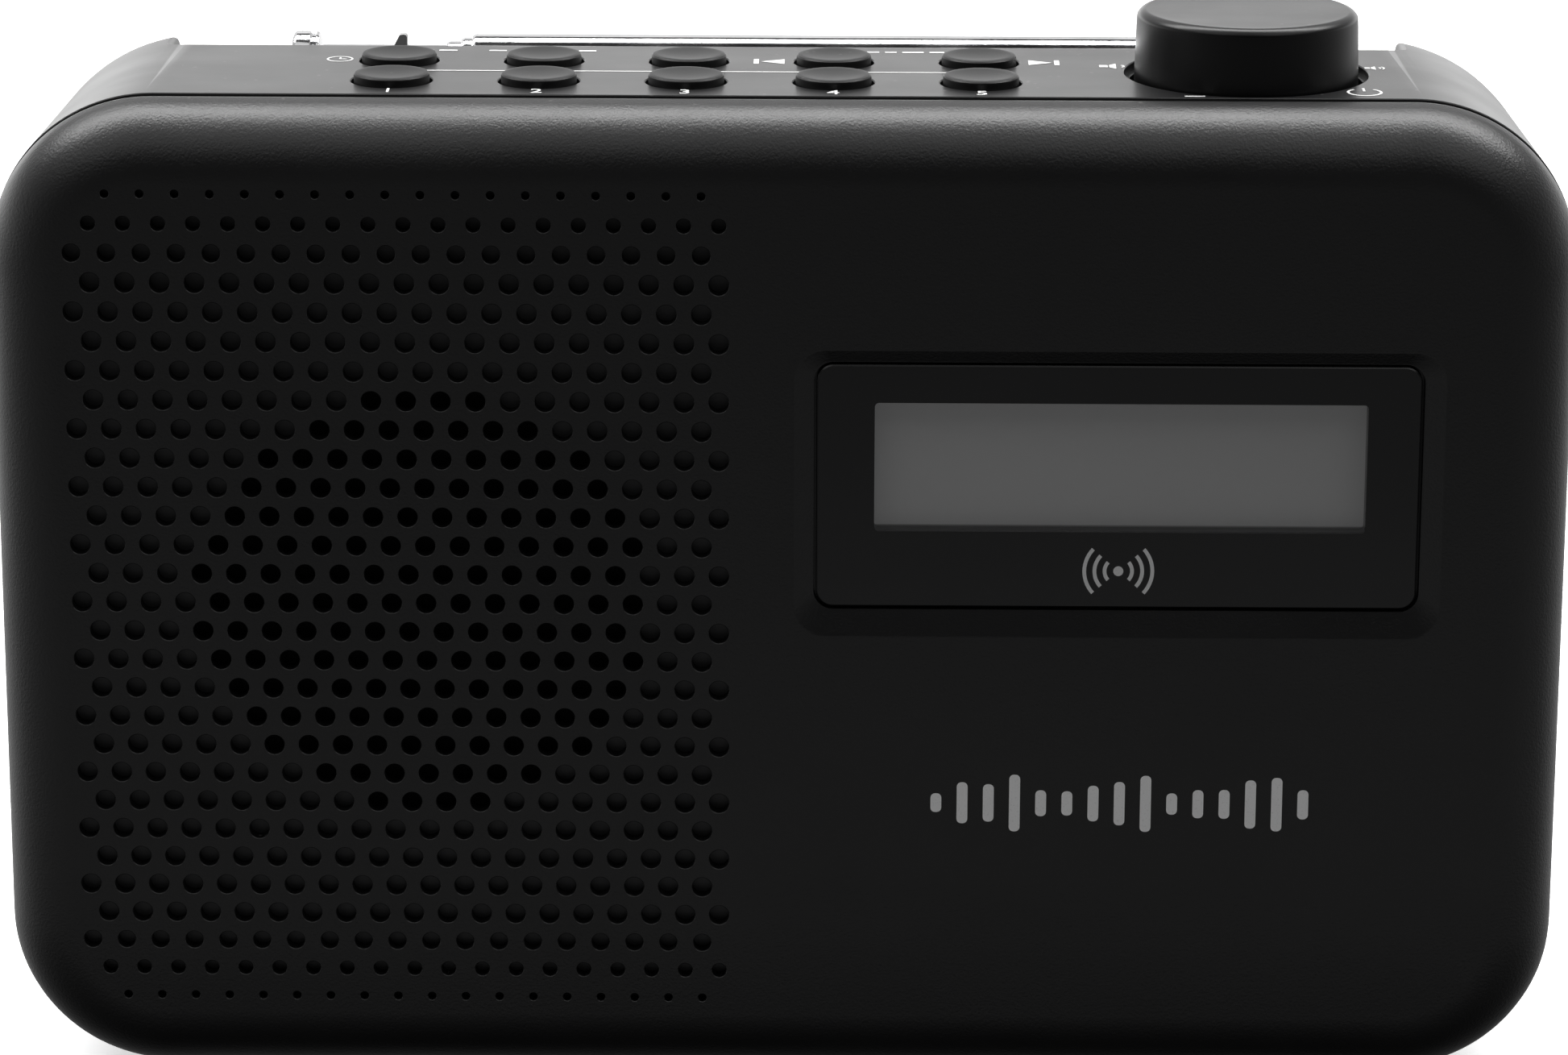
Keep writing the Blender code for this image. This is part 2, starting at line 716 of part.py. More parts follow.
def make_aerial():
    floor_z = TOP_Z - BAY_DEPTH
    pivot = Vector((PIVOT_X, AERIAL_Y, AERIAL_Z))
    swivel_axis = add_axis("aerial_swivel_axis", pivot)
    tilt_axis = add_axis("aerial_tilt_axis", pivot)
    base_top = AERIAL_Z - FORK_R - GAP

    swivel = cylinder(
        "antenna_swivel",
        (PIVOT_X, AERIAL_Y, (floor_z + GAP + base_top) / 2),
        0.0036,
        base_top - floor_z - GAP,
        material=CHROME,
        parent=swivel_axis,
    )
    cheek_low = TONGUE_HALF + GAP
    cheek_high = cheek_low + 0.0015
    for side in (-1, 1):
        cheek = cylinder(
            f"fork_cheek_{side}",
            pivot + Vector((0, side * (cheek_low + cheek_high) / 2, 0)),
            FORK_R - 0.0003,
            cheek_high - cheek_low,
            "Y",
            20,
        )
        middle = AERIAL_Y + side * (cheek_low + cheek_high) / 2
        half = (cheek_high - cheek_low) / 2
        web = box(
            f"fork_web_{side}",
            (PIVOT_X - 0.0024, middle - half, base_top - 0.0004),
            (PIVOT_X + 0.0024, middle + half, AERIAL_Z - 0.0015),
        )
        combine(swivel, "UNION", cheek, web)
    turning = cylinder("fork_turning", pivot, 0.0037, 2 * BAY_DEPTH, segments=20)
    combine(swivel, "INTERSECT", turning)
    stub_low = floor_z - 0.0035
    stub = cylinder("swivel_stub", (PIVOT_X, AERIAL_Y, (stub_low + floor_z + 0.001) / 2), 0.0023, 0.0045)
    bore = cylinder("swivel_bore", (PIVOT_X, AERIAL_Y, stub_low), 0.0014, 0.005, segments=12)
    pin_hole = cylinder("fork_pin_cutter", pivot, 0.0013, 0.010, "Y", 12)
    combine(swivel, "UNION", stub)
    combine(swivel, "DIFFERENCE", bore, pin_hole)

    head_top = stub_low - GAP
    turned(
        "antenna_screw",
        [(0, 0.0021), (0.0010, 0.0021), (0.0010, 0), (0.0030, 0), (0.0030, -0.0014), (0, -0.0014)],
        (PIVOT_X, AERIAL_Y, head_top),
        "Z",
        16,
        STEEL,
        swivel_axis,
    )
    bracket_top = floor_z - WALL - GAP
    bracket = box(
        "antenna_bracket",
        (PIVOT_X - 0.007, AERIAL_Y - 0.0045, bracket_top - 0.0006),
        (PIVOT_X + 0.006, AERIAL_Y + 0.0045, bracket_top),
        STEEL,
    )
    clearance = cylinder("bracket_cutter", (PIVOT_X, AERIAL_Y, bracket_top), 0.0028, 0.004)
    combine(bracket, "DIFFERENCE", clearance)
    cylinder("antenna_pin", pivot, 0.0010, 2 * cheek_high + 0.0002, "Y", 12, STEEL, swivel_axis)

    knuckle = cylinder(
        "antenna_knuckle", pivot, FORK_R - 0.0005, 2 * TONGUE_HALF, "Y", 20, CHROME, tilt_axis
    )
    neck = box(
        "knuckle_neck",
        (TUBE_RIGHT[0] - 0.001, AERIAL_Y - TONGUE_HALF + GAP / 10, AERIAL_Z - 0.0017),
        (PIVOT_X, AERIAL_Y + TONGUE_HALF - GAP / 10, AERIAL_Z + 0.0017),
    )
    plug = cylinder("knuckle_plug", (TUBE_RIGHT[0] - 0.0035, AERIAL_Y, AERIAL_Z), 0.0023, 0.006, "X", 16)
    combine(knuckle, "UNION", neck, plug)
    tongue_hole = cylinder("tongue_cutter", pivot, 0.0013, 0.010, "Y", 12)
    combine(knuckle, "DIFFERENCE", tongue_hole)

    for number, (radius, left, right) in enumerate(zip(TUBE_R, TUBE_LEFT, TUBE_RIGHT), 1):
        length = right - left
        name = f"antenna_section_{number}"
        place = (left, AERIAL_Y, AERIAL_Z)
        if number < len(TUBE_R):
            inner = radius - TUBE_WALL
            profile = [(radius, length), (radius, 0), (inner, 0), (inner, length)]
        else:
            profile = [(0, length), (radius, length), (radius, 0), (0, 0)]
        turned(name, profile, place, "X", 16, CHROME, tilt_axis)
    tip_place = (TUBE_LEFT[-1] - GAP - TIP_LENGTH, AERIAL_Y, AERIAL_Z)
    tip = [
        (0, TIP_LENGTH),
        (TIP_R - 0.0004, TIP_LENGTH),
        (TIP_R, TIP_LENGTH - 0.0004),
        (TIP_R, 0.0006),
        (TIP_R - 0.0006, 0),
        (0, 0),
    ]
    turned("antenna_tip", tip, tip_place, "X", 16, CHROME, tilt_axis)

    rod_low = AERIAL_Z - TUBE_R[-1] - 0.0004
    clip = box(
        "antenna_clip",
        (-0.0493, BAY_Y + GAP, floor_z + GAP),
        (-0.0460, AERIAL_Y + 0.003, rod_low),
        BLACK_PLASTIC,
    )
    finger = box(
        "clip_finger", (-0.0487, BAY_Y + GAP, rod_low - 0.001), (-0.0465, AERIAL_Y - 0.0021, TOP_Z + 0.0010)
    )
    slant = Matrix.Translation((-0.0487, 0, TOP_Z + 0.0010)) @ Matrix.Rotation(math.radians(16), 4, "Y")
    trim = box("finger_cutter", (-0.003, -0.003, -0.007), (0.0, 0.035, 0.003))
    trim.matrix_world = slant @ Matrix.Translation((-0.0004, 0.016, -0.002))
    combine(finger, "DIFFERENCE", trim)
    combine(clip, "UNION", finger)
    wire(
        "antenna_wire",
        [
            (PIVOT_X - 0.0060, AERIAL_Y, bracket_top - 0.0015),
            (PIVOT_X - 0.0065, AERIAL_Y - 0.001, bracket_top - 0.005),
            (0.052, 0.0075, 0.0925),
            (0.042, 0.0000, 0.0900),
            (0.036, -0.0090, 0.0880),
            (0.035, -0.0140, 0.0880),
        ],
        0.0005,
        WIRE,
    )


def make_battery_compartment():
    axis_place = Vector(door_axis())
    hinge = add_axis("battery_door_axis", axis_place)
    half = DOOR_THICK / 2
    door = box(
        "battery_door",
        (DOOR_X[0], axis_place.y - half, DOOR_AXIS_Z),
        (DOOR_X[1], axis_place.y + half, DOOR_TOP),
        BLACK_PLASTIC,
        hinge,
    )
    barrel = cylinder("door_barrel", axis_place, half, DOOR_X[1] - DOOR_X[0], "X", 16)
    pins = cylinder("door_pins", axis_place, 0.0006, DOOR_X[1] - DOOR_X[0] + 0.0022, "X", 12)
    combine(door, "UNION", barrel, pins)

    cell = (BATTERY_X[1] - BATTERY_X[0]) / 4
    middle_y = REAR_Y - BATTERY_DEPTH + 0.0074
    low_y = middle_y - 0.006
    high_y = middle_y + 0.006
    for name, seat, side in (
        ("battery_contact_lower", BATTERY_Z[0] + GAP, 1),
        ("battery_contact_upper", BATTERY_Z[1] - GAP, -1),
    ):
        ends = sorted((seat, seat + side * 0.0005))
        plate = box(
            name,
            (BATTERY_X[0] + 0.001, low_y, ends[0]),
            (BATTERY_X[1] - 0.001, high_y, ends[1]),
            STEEL,
        )
        bumps = cylinders(
            f"{name}_bumps",
            [(BATTERY_X[0] + cell * (i + 0.5), middle_y, seat + side * 0.0009) for i in range(4)],
            0.0024,
            0.0014,
            "Z",
            10,
        )
        combine(plate, "UNION", bumps)


def make_sockets():
    """Headphone and power sockets on their own board behind the rear wall."""
    board_y = REAR_Y - 0.0143
    front = board_y - 0.0016
    box("socket_board", (-0.062, front, 0.020), (-0.022, board_y, 0.037), BOARD)
    base = board_y + GAP
    face = REAR_Y - WALL - GAP
    for name, x, half, barrel_r, bore_r in (
        ("headphone_socket", HEADPHONE_X, 0.0040, 0.0034, 0.0018),
        ("power_socket", POWER_X, 0.0048, 0.0036, 0.0031),
    ):
        socket = box(name, (x - half, base, SOCKET_Z - half), (x + half, face, SOCKET_Z + half), SOCKET)
        nose_low = face - 0.001
        nose_high = REAR_Y - 0.0002
        centre_y = (nose_low + nose_high) / 2
        nose = cylinder(f"{name}_nose", (x, centre_y, SOCKET_Z), barrel_r, nose_high - nose_low, "Y", 20)
        bore_low = base + 0.0012
        bore = cylinder(
            f"{name}_bore",
            (x, (bore_low + REAR_Y + GAP) / 2, SOCKET_Z),
            bore_r,
            REAR_Y + GAP - bore_low,
            "Y",
            16,
        )
        combine(socket, "UNION", nose)
        combine(socket, "DIFFERENCE", bore)
        if name == "power_socket":
            pin_high = nose_high - 0.0008
            pin_low = bore_low - 0.0005
            pin = cylinder(
                "power_pin", (x, (pin_low + pin_high) / 2, SOCKET_Z), 0.0009, pin_high - pin_low, "Y", 10
            )
            combine(socket, "UNION", pin)


def make_fixings():
    shank_low = FRONT_Y + WALL + 0.0022
    for number, place in enumerate(screw_places(SCREW_HEAD_Y), 1):
        shank = shank_low - SCREW_HEAD_Y
        profile = [
            (0, 0.0020),
            (SCREW_HEAD_R - 0.0006, 0.0020),
            (SCREW_HEAD_R, 0.0010),
            (SCREW_HEAD_R, 0),
            (0.0013, 0),
            (0.0013, shank + 0.001),
            (0, shank),
        ]
        turned(f"case_screw_{number}", profile, place, "Y", 12, STEEL)
    for number, place in enumerate(foot_places(0), 1):
        height = FOOT_PROUD + FOOT_RECESS - GAP
        profile = [
            (0, height),
            (FOOT_R, height),
            (FOOT_R, 0.0004),
            (FOOT_R - 0.0004, 0),
            (0, 0),
        ]
        turned(f"foot_{number}", profile, place, "Z", 20, RUBBER)
    wire(
        "speaker_wire",
        [
            (GRILLE_X + 0.0225, -0.0105, GRILLE_Z + 0.008),
            (GRILLE_X + 0.026, -0.0060, GRILLE_Z + 0.006),
            (-0.010, -0.0040, GRILLE_Z + 0.004),
            (-0.003, -0.0060, 0.0700),
            (0.000, -0.0110, 0.0720),
            (0.001, -0.0150, 0.0730),
        ],
        0.0007,
        WIRE,
    )


make_front_shell()
make_rear_casing()
make_display()
make_buttons()
make_knob_and_encoder()
make_loudspeaker()
make_aerial()
make_battery_compartment()
make_sockets()
make_fixings()
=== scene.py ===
"""Visible pieces and finishes of a tabletop radio, built round its frame, in metres."""

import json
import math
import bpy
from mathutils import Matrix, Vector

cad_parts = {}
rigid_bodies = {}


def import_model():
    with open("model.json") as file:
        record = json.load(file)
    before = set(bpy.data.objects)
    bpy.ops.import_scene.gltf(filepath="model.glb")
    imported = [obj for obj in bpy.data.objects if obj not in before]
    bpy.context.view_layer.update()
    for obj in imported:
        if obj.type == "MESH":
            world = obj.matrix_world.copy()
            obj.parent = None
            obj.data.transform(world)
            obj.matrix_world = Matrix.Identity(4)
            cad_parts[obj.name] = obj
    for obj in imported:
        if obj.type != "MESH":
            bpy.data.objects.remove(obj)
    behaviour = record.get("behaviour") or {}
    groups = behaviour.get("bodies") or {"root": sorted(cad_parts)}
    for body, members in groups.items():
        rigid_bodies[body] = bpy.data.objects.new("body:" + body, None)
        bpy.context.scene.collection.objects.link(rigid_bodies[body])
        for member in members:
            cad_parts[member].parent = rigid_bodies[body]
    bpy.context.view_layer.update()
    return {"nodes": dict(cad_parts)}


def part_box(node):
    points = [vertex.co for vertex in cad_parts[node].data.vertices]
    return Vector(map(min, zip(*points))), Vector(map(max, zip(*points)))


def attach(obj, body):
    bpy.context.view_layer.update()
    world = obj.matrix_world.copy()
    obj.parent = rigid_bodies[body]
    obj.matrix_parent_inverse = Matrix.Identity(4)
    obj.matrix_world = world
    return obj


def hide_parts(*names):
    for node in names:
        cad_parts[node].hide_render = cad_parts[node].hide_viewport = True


bl_info = {
    "name": "Tabletop Radio",
    "version": (1, 0, 0),
    "blender": (4, 5, 0),
    "location": "3D View > Sidebar > Radio",
    "description": "Builds the visible pieces and finishes of a tabletop radio",
    "category": "Add Mesh",
}

import bmesh
import bpy
from bpy.props import FloatProperty, FloatVectorProperty, IntProperty, PointerProperty
from bpy.types import Operator, Panel, PropertyGroup
from mathutils import Matrix, Vector

for startup_object in list(bpy.data.objects):
    bpy.data.objects.remove(startup_object, do_unlink=True)
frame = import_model()

# The case, read from the frame
CASE_LOW, CASE_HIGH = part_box("rear_casing")
COVER_LOW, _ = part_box("front_shell")
HALF_WIDTH = CASE_HIGH.x
FRONT_Y = COVER_LOW.y
REAR_Y = CASE_HIGH.y
BASE_Z = CASE_LOW.z
TOP_Z = CASE_HIGH.z
MID_Z = (BASE_Z + TOP_Z) / 2
CASING_Y = CASE_LOW.y
GAP = 0.0003
SEAM_Y = CASING_Y - GAP

# Rows of dots moulded in the front cover
DOT_ROWS = 14
DOT_MIDDLE = (-0.0424, MID_Z + 0.00057)
OPEN_RADIUS = 6.475
EDGE_DOTS = {12: 0.00215, 13: 0.00175, 14: 0.0010}

# Display window and its sloped recess
WINDOW_LOW, WINDOW_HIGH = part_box("display_window")
WINDOW = (0.00415, 0.07515, 0.06125, 0.09085)
APERTURE = (0.0110, 0.0689, 0.07055, 0.0862)
RAMP_MARGINS = (0.0025, 0.0026, 0.0032, 0.0017)

# Aerial bay, battery compartment, fixings
BAY_X = 0.0754
BAY_Y = 0.0125
BAY_FLOOR = TOP_Z - 0.0075
CELL_X = (0.000, 0.060)
CELL_Z = (0.030, 0.083)
CELL_BACK = REAR_Y - 0.017
SCREW_PLACES = [(x, z) for x in (-0.070, 0.070) for z in (0.024, 0.098)]
WELL_R = 0.0146
WELL_FLOOR = TOP_Z - 0.005
SOCKET_Z = 0.028

AXIS_TURN = {
    "Z": Matrix.Identity(4),
    "Y": Matrix.Rotation(math.radians(-90), 4, "X"),
    "X": Matrix.Rotation(math.radians(90), 4, "Y"),
}
FINISHES = {}


def box_centre(node):
    low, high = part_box(node)
    return (low + high) / 2


BUTTON_PLACES = {f"button_{n}": box_centre(f"button_{n}") for n in range(1, 11)}
KNOB_PLACE = box_centre("knob")
AERIAL = box_centre("antenna_section_1")
PIVOT = box_centre("antenna_pin")


# ---------------------------------------------------------------- settings


def length(name, description, default, **limits):
    values = {"name": name, "description": description, "default": default, **limits}
    return FloatProperty(unit="LENGTH", **values)


def paint(name, description, default):
    return FloatVectorProperty(
        name=name, description=description, default=default, subtype="COLOR", min=0.0, max=1.0
    )


class CaseSettings(PropertyGroup):
    corner_radius: length(
        "Corner Radius", "Radius of the case's four corners, seen from the front", 0.0195, min=0.017
    )
    front_round: length(
        "Front Rounding", "Radius of the edge between the front face and the sides", 0.009
    )
    rear_round: length("Rear Rounding", "Radius of the edge between the back and the sides", 0.0115)
    wall: length("Wall", "Thickness of the moulded wall", 0.0022)
    colour: paint("Case Colour", "Colour of the moulded plastic", (0.0055, 0.0055, 0.0058))
    corner_steps: IntProperty(
        name="Corner Steps", description="Facets round each quarter corner", default=28, min=6
    )


class GrilleSettings(PropertyGroup):
    pitch: length("Pitch", "Distance between neighbouring dots", 0.00408)
    hole: length("Dot Diameter", "Diameter of a full dot", 0.0024)
    depth: length("Dot Depth", "Depth of the blind dots", 0.0019)


class ControlSettings(PropertyGroup):
    cap_diameter: length("Button Diameter", "Diameter of a push button's cap", 0.0090)
    knob_diameter: length("Knob Diameter", "Diameter of the knob at its foot", 0.0271)
    ink: paint("Printing", "Colour of the printed marks", (0.80, 0.80, 0.79))


class AerialSettings(PropertyGroup):
    facets: IntProperty(
        name="Facets", description="Facets round each aerial tube", default=40, min=12
    )
    roll: length("Rolled End", "Length over which a tube's mouth is rolled in", 0.0005)


class StageSettings(PropertyGroup):
    floor_size: length("Floor Size", "Width of the studio floor", 6.0)
    lens: FloatProperty(
        name="Focal Length", description="Focal length of the camera", default=131.33, unit="CAMERA"
    )
    surround: FloatProperty(
        name="Surround", description="Strength of the light from the pale surroundings",
        default=1.0, min=0.0,
    )


# ---------------------------------------------------------------- finishes


def add_node(tree, kind, inputs=None, **settings):
    """A node with its settings, and with each input joined to a socket or set to a value."""
    node = tree.nodes.new(kind)
    for key, value in settings.items():
        setattr(node, key, value)
    for key, value in (inputs or {}).items():
        if isinstance(value, bpy.types.NodeSocket):
            tree.links.new(value, node.inputs[key])
        else:
            node.inputs[key].default_value = value
    return node


def maths(tree, operation, *values, clamp=False):
    inputs = dict(enumerate(values))
    node = add_node(tree, "ShaderNodeMath", inputs, operation=operation, use_clamp=clamp)
    return node.outputs[0]


def span(tree, value, low, high, to_low=0.0, to_high=1.0):
    """value carried from the range low to high over to another range, and held at its ends."""
    inputs = {0: value, 1: low, 2: high, 3: to_low, 4: to_high}
    return add_node(tree, "ShaderNodeMapRange", inputs).outputs[0]


def blend_colour(tree, mask, first, second):
    node = add_node(tree, "ShaderNodeMix", data_type="RGBA")
    for socket, value in (("Factor_Float", mask), ("A_Color", first), ("B_Color", second)):
        target = next(s for s in node.inputs if s.identifier == socket)
        if isinstance(value, bpy.types.NodeSocket):
            tree.links.new(value, target)
        else:
            target.default_value = (*value, 1.0)
    return next(s for s in node.outputs if s.identifier == "Result_Color")


def new_group(name, inputs, outputs):
    """An empty shader node group, with numbers in and out, and its two end nodes."""
    tree = bpy.data.node_groups.new(name, "ShaderNodeTree")
    number = "NodeSocketFloat"
    for label, value in inputs.items():
        socket = tree.interface.new_socket(name=label, in_out="INPUT", socket_type=number)
        socket.default_value = value
    for label in outputs:
        tree.interface.new_socket(name=label, in_out="OUTPUT", socket_type=number)
    start = tree.nodes.new("NodeGroupInput")
    end = tree.nodes.new("NodeGroupOutput")
    return tree, start.outputs, end.inputs


def place_on_object(tree, size):
    """Object coordinates divided by a size, for a pattern of that size."""
    place = add_node(tree, "ShaderNodeTexCoord").outputs["Object"]
    scale = maths(tree, "DIVIDE", 1.0, size)
    return add_node(
        tree, "ShaderNodeVectorMath", {"Vector": place, "Scale": scale}, operation="SCALE"
    ).outputs["Vector"]


def noise(tree, place, detail=2.0, roughness=0.5):
    inputs = {"Vector": place, "Scale": 1.0, "Detail": detail, "Roughness": roughness}
    return add_node(tree, "ShaderNodeTexNoise", inputs).outputs["Fac"]


def voronoi(tree, inputs, **settings):
    return add_node(tree, "ShaderNodeTexVoronoi", inputs, **settings).outputs["Distance"]


def build_grain_group():
    """Spark-eroded mould grain: close pits, and a slow drift in how deep they are."""
    inputs = {"Size": 0.0004, "Drift": 0.02}
    tree, start, end = new_group("Mould Grain", inputs, ("Height", "Tone"))
    place = place_on_object(tree, start["Size"])
    pits = noise(tree, place, 3.0, 0.6)
    cells = voronoi(tree, {"Vector": place, "Scale": 1.4}, feature="SMOOTH_F1")
    slow = noise(tree, place_on_object(tree, start["Drift"]))
    mixed = maths(tree, "MULTIPLY_ADD", cells, 0.45, pits)
    drift = span(tree, slow, 0.3, 0.7, 0.8, 1.0)
    tree.links.new(maths(tree, "MULTIPLY", mixed, drift), end["Height"])
    tree.links.new(pits, end["Tone"])
    return tree


def build_marks_group():
    """Handling marks: where fingers have polished or greased a surface, as a roughness."""
    inputs = {"Size": 0.02, "Low": 0.35, "High": 0.45}
    tree, start, end = new_group("Handling Marks", inputs, ("Roughness", "Mask"))
    place = place_on_object(tree, start["Size"])
    cloud = noise(tree, place, 4.0, 0.62)
    streaks = add_node(
        tree, "ShaderNodeMapping", {"Vector": place, "Scale": (1.0, 4.0, 6.0)}
    ).outputs["Vector"]
    wiped = noise(tree, streaks, 3.0, 0.5)
    mask = span(tree, maths(tree, "MULTIPLY_ADD", wiped, 0.5, cloud), 0.55, 0.95)
    tree.links.new(span(tree, mask, 0.0, 1.0, start["Low"], start["High"]), end["Roughness"])
    tree.links.new(mask, end["Mask"])
    return tree


def build_dust_group():
    """Settled dust: scattered specks, only where a surface faces up."""
    tree, start, end = new_group("Settled Dust", {"Size": 0.0008, "Amount": 0.2}, ("Mask",))
    normal = add_node(tree, "ShaderNodeNewGeometry").outputs["Normal"]
    up = add_node(tree, "ShaderNodeSeparateXYZ", {0: normal}).outputs["Z"]
    facing = span(tree, up, 0.55, 0.95)
    place = place_on_object(tree, start["Size"])
    specks = voronoi(tree, {"Vector": place, "Scale": 0.45, "Randomness": 1.0})
    near = span(tree, specks, 0.10, 0.16, 1.0, 0.0)
    patch = span(tree, noise(tree, place_on_object(tree, 0.006)), 0.52, 0.60)
    mask = maths(tree, "MULTIPLY", maths(tree, "MULTIPLY", near, patch), facing)
    tree.links.new(maths(tree, "MULTIPLY", mask, start["Amount"], clamp=True), end["Mask"])
    return tree


def build_wear_group():
    """Rubbed edges: corners that stick out, broken up so that the wear isn't even."""
    tree, start, end = new_group("Rubbed Edges", {"Amount": 0.3, "Size": 0.003}, ("Mask",))
    sharp = add_node(tree, "ShaderNodeNewGeometry").outputs["Pointiness"]
    edge = span(tree, sharp, 0.515, 0.60)
    broken = span(tree, noise(tree, place_on_object(tree, start["Size"]), 4.0), 0.35, 0.65)
    mask = maths(tree, "MULTIPLY", edge, broken)
    tree.links.new(maths(tree, "MULTIPLY", mask, start["Amount"], clamp=True), end["Mask"])
    return tree


GROUP_BUILDERS = {
    "Mould Grain": build_grain_group,
    "Handling Marks": build_marks_group,
    "Settled Dust": build_dust_group,
    "Rubbed Edges": build_wear_group,
}


def use_group(tree, name, **values):
    """A shared effect placed in a material, with this material's own values."""
    group = bpy.data.node_groups.get(name) or GROUP_BUILDERS[name]()
    node = add_node(tree, "ShaderNodeGroup", node_tree=group)
    for key, value in values.items():
        node.inputs[key].default_value = value
    return node.outputs


def new_finish(name, colour, roughness, metallic=0.0, **constants):
    material = bpy.data.materials.new(name)
    material.use_nodes = True
    material.diffuse_color = (*colour, 1.0)
    tree = material.node_tree
    shader = tree.nodes["Principled BSDF"]
    shader.inputs["Base Color"].default_value = (*colour, 1.0)
    shader.inputs["Roughness"].default_value = roughness
    shader.inputs["Metallic"].default_value = metallic
    for socket, value in constants.items():
        shader.inputs[socket.replace("_", " ")].default_value = value
    return material, tree, shader


def feed(tree, shader, colour=None, roughness=None, height=None, distance=0.0):
    """Joins a colour, a roughness and a bump height to a finish's shader."""
    if colour:
        tree.links.new(colour, shader.inputs["Base Color"])
    if roughness:
        tree.links.new(roughness, shader.inputs["Roughness"])
    if height:
        inputs = {"Height": height, "Distance": distance, "Strength": 1.0}
        bump = add_node(tree, "ShaderNodeBump", inputs)
        tree.links.new(bump.outputs["Normal"], shader.inputs["Normal"])


def lifted(colour, share):
    return tuple(min(1.0, channel * share) for channel in colour)


def moulded(name, colour, low, high, grain=0.00038, bump=0.000012, dust=0.25, gloss=0.5):
    """A moulded plastic: grain, handling marks, a faint colour drift and a little dust on top."""
    material, tree, shader = new_finish(name, colour, (low + high) / 2, Specular_IOR_Level=gloss)
    texture = use_group(tree, "Mould Grain", Size=grain)
    marks = use_group(tree, "Handling Marks", Size=0.03, Low=low, High=high)
    specks = use_group(tree, "Settled Dust", Amount=dust)
    base = blend_colour(tree, texture["Tone"], colour, lifted(colour, 1.25))
    dusted = blend_colour(tree, specks["Mask"], base, (0.22, 0.21, 0.20))
    feed(tree, shader, dusted, marks["Roughness"], texture["Height"], bump)
    return material


def metal(name, colour, low, high, wear=(0.4, 0.4, 0.4), grain=0.0006, bump=0.000002):
    """A plated metal: polish marks in the roughness, and duller rubbed edges."""
    material, tree, shader = new_finish(name, colour, low, 1.0)
    marks = use_group(tree, "Handling Marks", Size=0.012, Low=low, High=high)
    texture = use_group(tree, "Mould Grain", Size=grain)
    worn = use_group(tree, "Rubbed Edges", Amount=0.35)
    rubbed = blend_colour(tree, worn["Mask"], colour, wear)
    feed(tree, shader, rubbed, marks["Roughness"], texture["Height"], bump)
    return material


def dull(name, colour, roughness, grain, bump, spread=0.5):
    """A dull material such as rubber or ferrite: pitted, with an uneven colour."""
    material, tree, shader = new_finish(name, colour, roughness)
    texture = use_group(tree, "Mould Grain", Size=grain)
    marks = use_group(
        tree, "Handling Marks", Size=0.008, Low=roughness - 0.1, High=min(1.0, roughness + 0.08)
    )
    uneven = blend_colour(tree, texture["Tone"], colour, lifted(colour, 1 + spread))
    feed(tree, shader, uneven, marks["Roughness"], texture["Height"], bump)
    return material


def build_window_pane():
    material, tree, shader = new_finish("window_pane", (0.03, 0.03, 0.032), 0.12, Alpha=0.25)
    marks = use_group(tree, "Handling Marks", Size=0.015, Low=0.08, High=0.16)
    texture = use_group(tree, "Mould Grain", Size=0.002)
    feed(tree, shader, None, marks["Roughness"], texture["Height"], 0.000001)
    return material


def build_display_glass():
    """Grey polariser over the display's working area, with a darker border round it."""
    material, tree, shader = new_finish("display_glass", (0.16, 0.16, 0.16), 0.35)
    place = add_node(tree, "ShaderNodeTexCoord").outputs["Object"]
    axes = add_node(tree, "ShaderNodeSeparateXYZ", {0: place}).outputs
    soft = 0.00008
    low_z, high_z = APERTURE[2] + 0.0001, APERTURE[3] + 0.0010
    above = span(tree, axes["Z"], low_z - soft, low_z + soft)
    below = span(tree, axes["Z"], high_z - soft, high_z + soft, 1.0, 0.0)
    area = maths(tree, "MULTIPLY", above, below)
    cloud = noise(tree, place_on_object(tree, 0.03), 3.0)
    fade = span(tree, axes["X"], APERTURE[0], APERTURE[1], 0.0, 0.6)
    tone = maths(tree, "MULTIPLY_ADD", cloud, 0.4, fade, clamp=True)
    grey = blend_colour(tree, tone, (0.64, 0.64, 0.64), (0.58, 0.58, 0.58))
    colour = blend_colour(tree, area, (0.22, 0.22, 0.22), grey)
    marks = use_group(tree, "Handling Marks", Size=0.02, Low=0.30, High=0.38)
    feed(tree, shader, colour, marks["Roughness"])
    # Painted light: the display glows faintly in its own colour, which brightens it beyond what the
    # lamps give.
    tree.links.new(colour, shader.inputs["Emission Color"])
    shader.inputs["Emission Strength"].default_value = 0.11
    return material


def build_dust_cloth():
    """Acoustic cloth: a plain weave of fine threads."""
    material, tree, shader = new_finish("dust_cloth", (0.004, 0.004, 0.004), 0.95)
    place = place_on_object(tree, 0.00045)
    axes = add_node(tree, "ShaderNodeSeparateXYZ", {0: place}).outputs
    warp = maths(tree, "SINE", maths(tree, "MULTIPLY", axes["X"], 2 * math.pi))
    weft = maths(tree, "SINE", maths(tree, "MULTIPLY", axes["Z"], 2 * math.pi))
    weave = span(tree, maths(tree, "MULTIPLY", warp, weft), -1.0, 1.0)
    colour = blend_colour(tree, weave, (0.002, 0.002, 0.002), (0.006, 0.006, 0.006))
    feed(tree, shader, colour, None, weave, 0.00008)
    return material


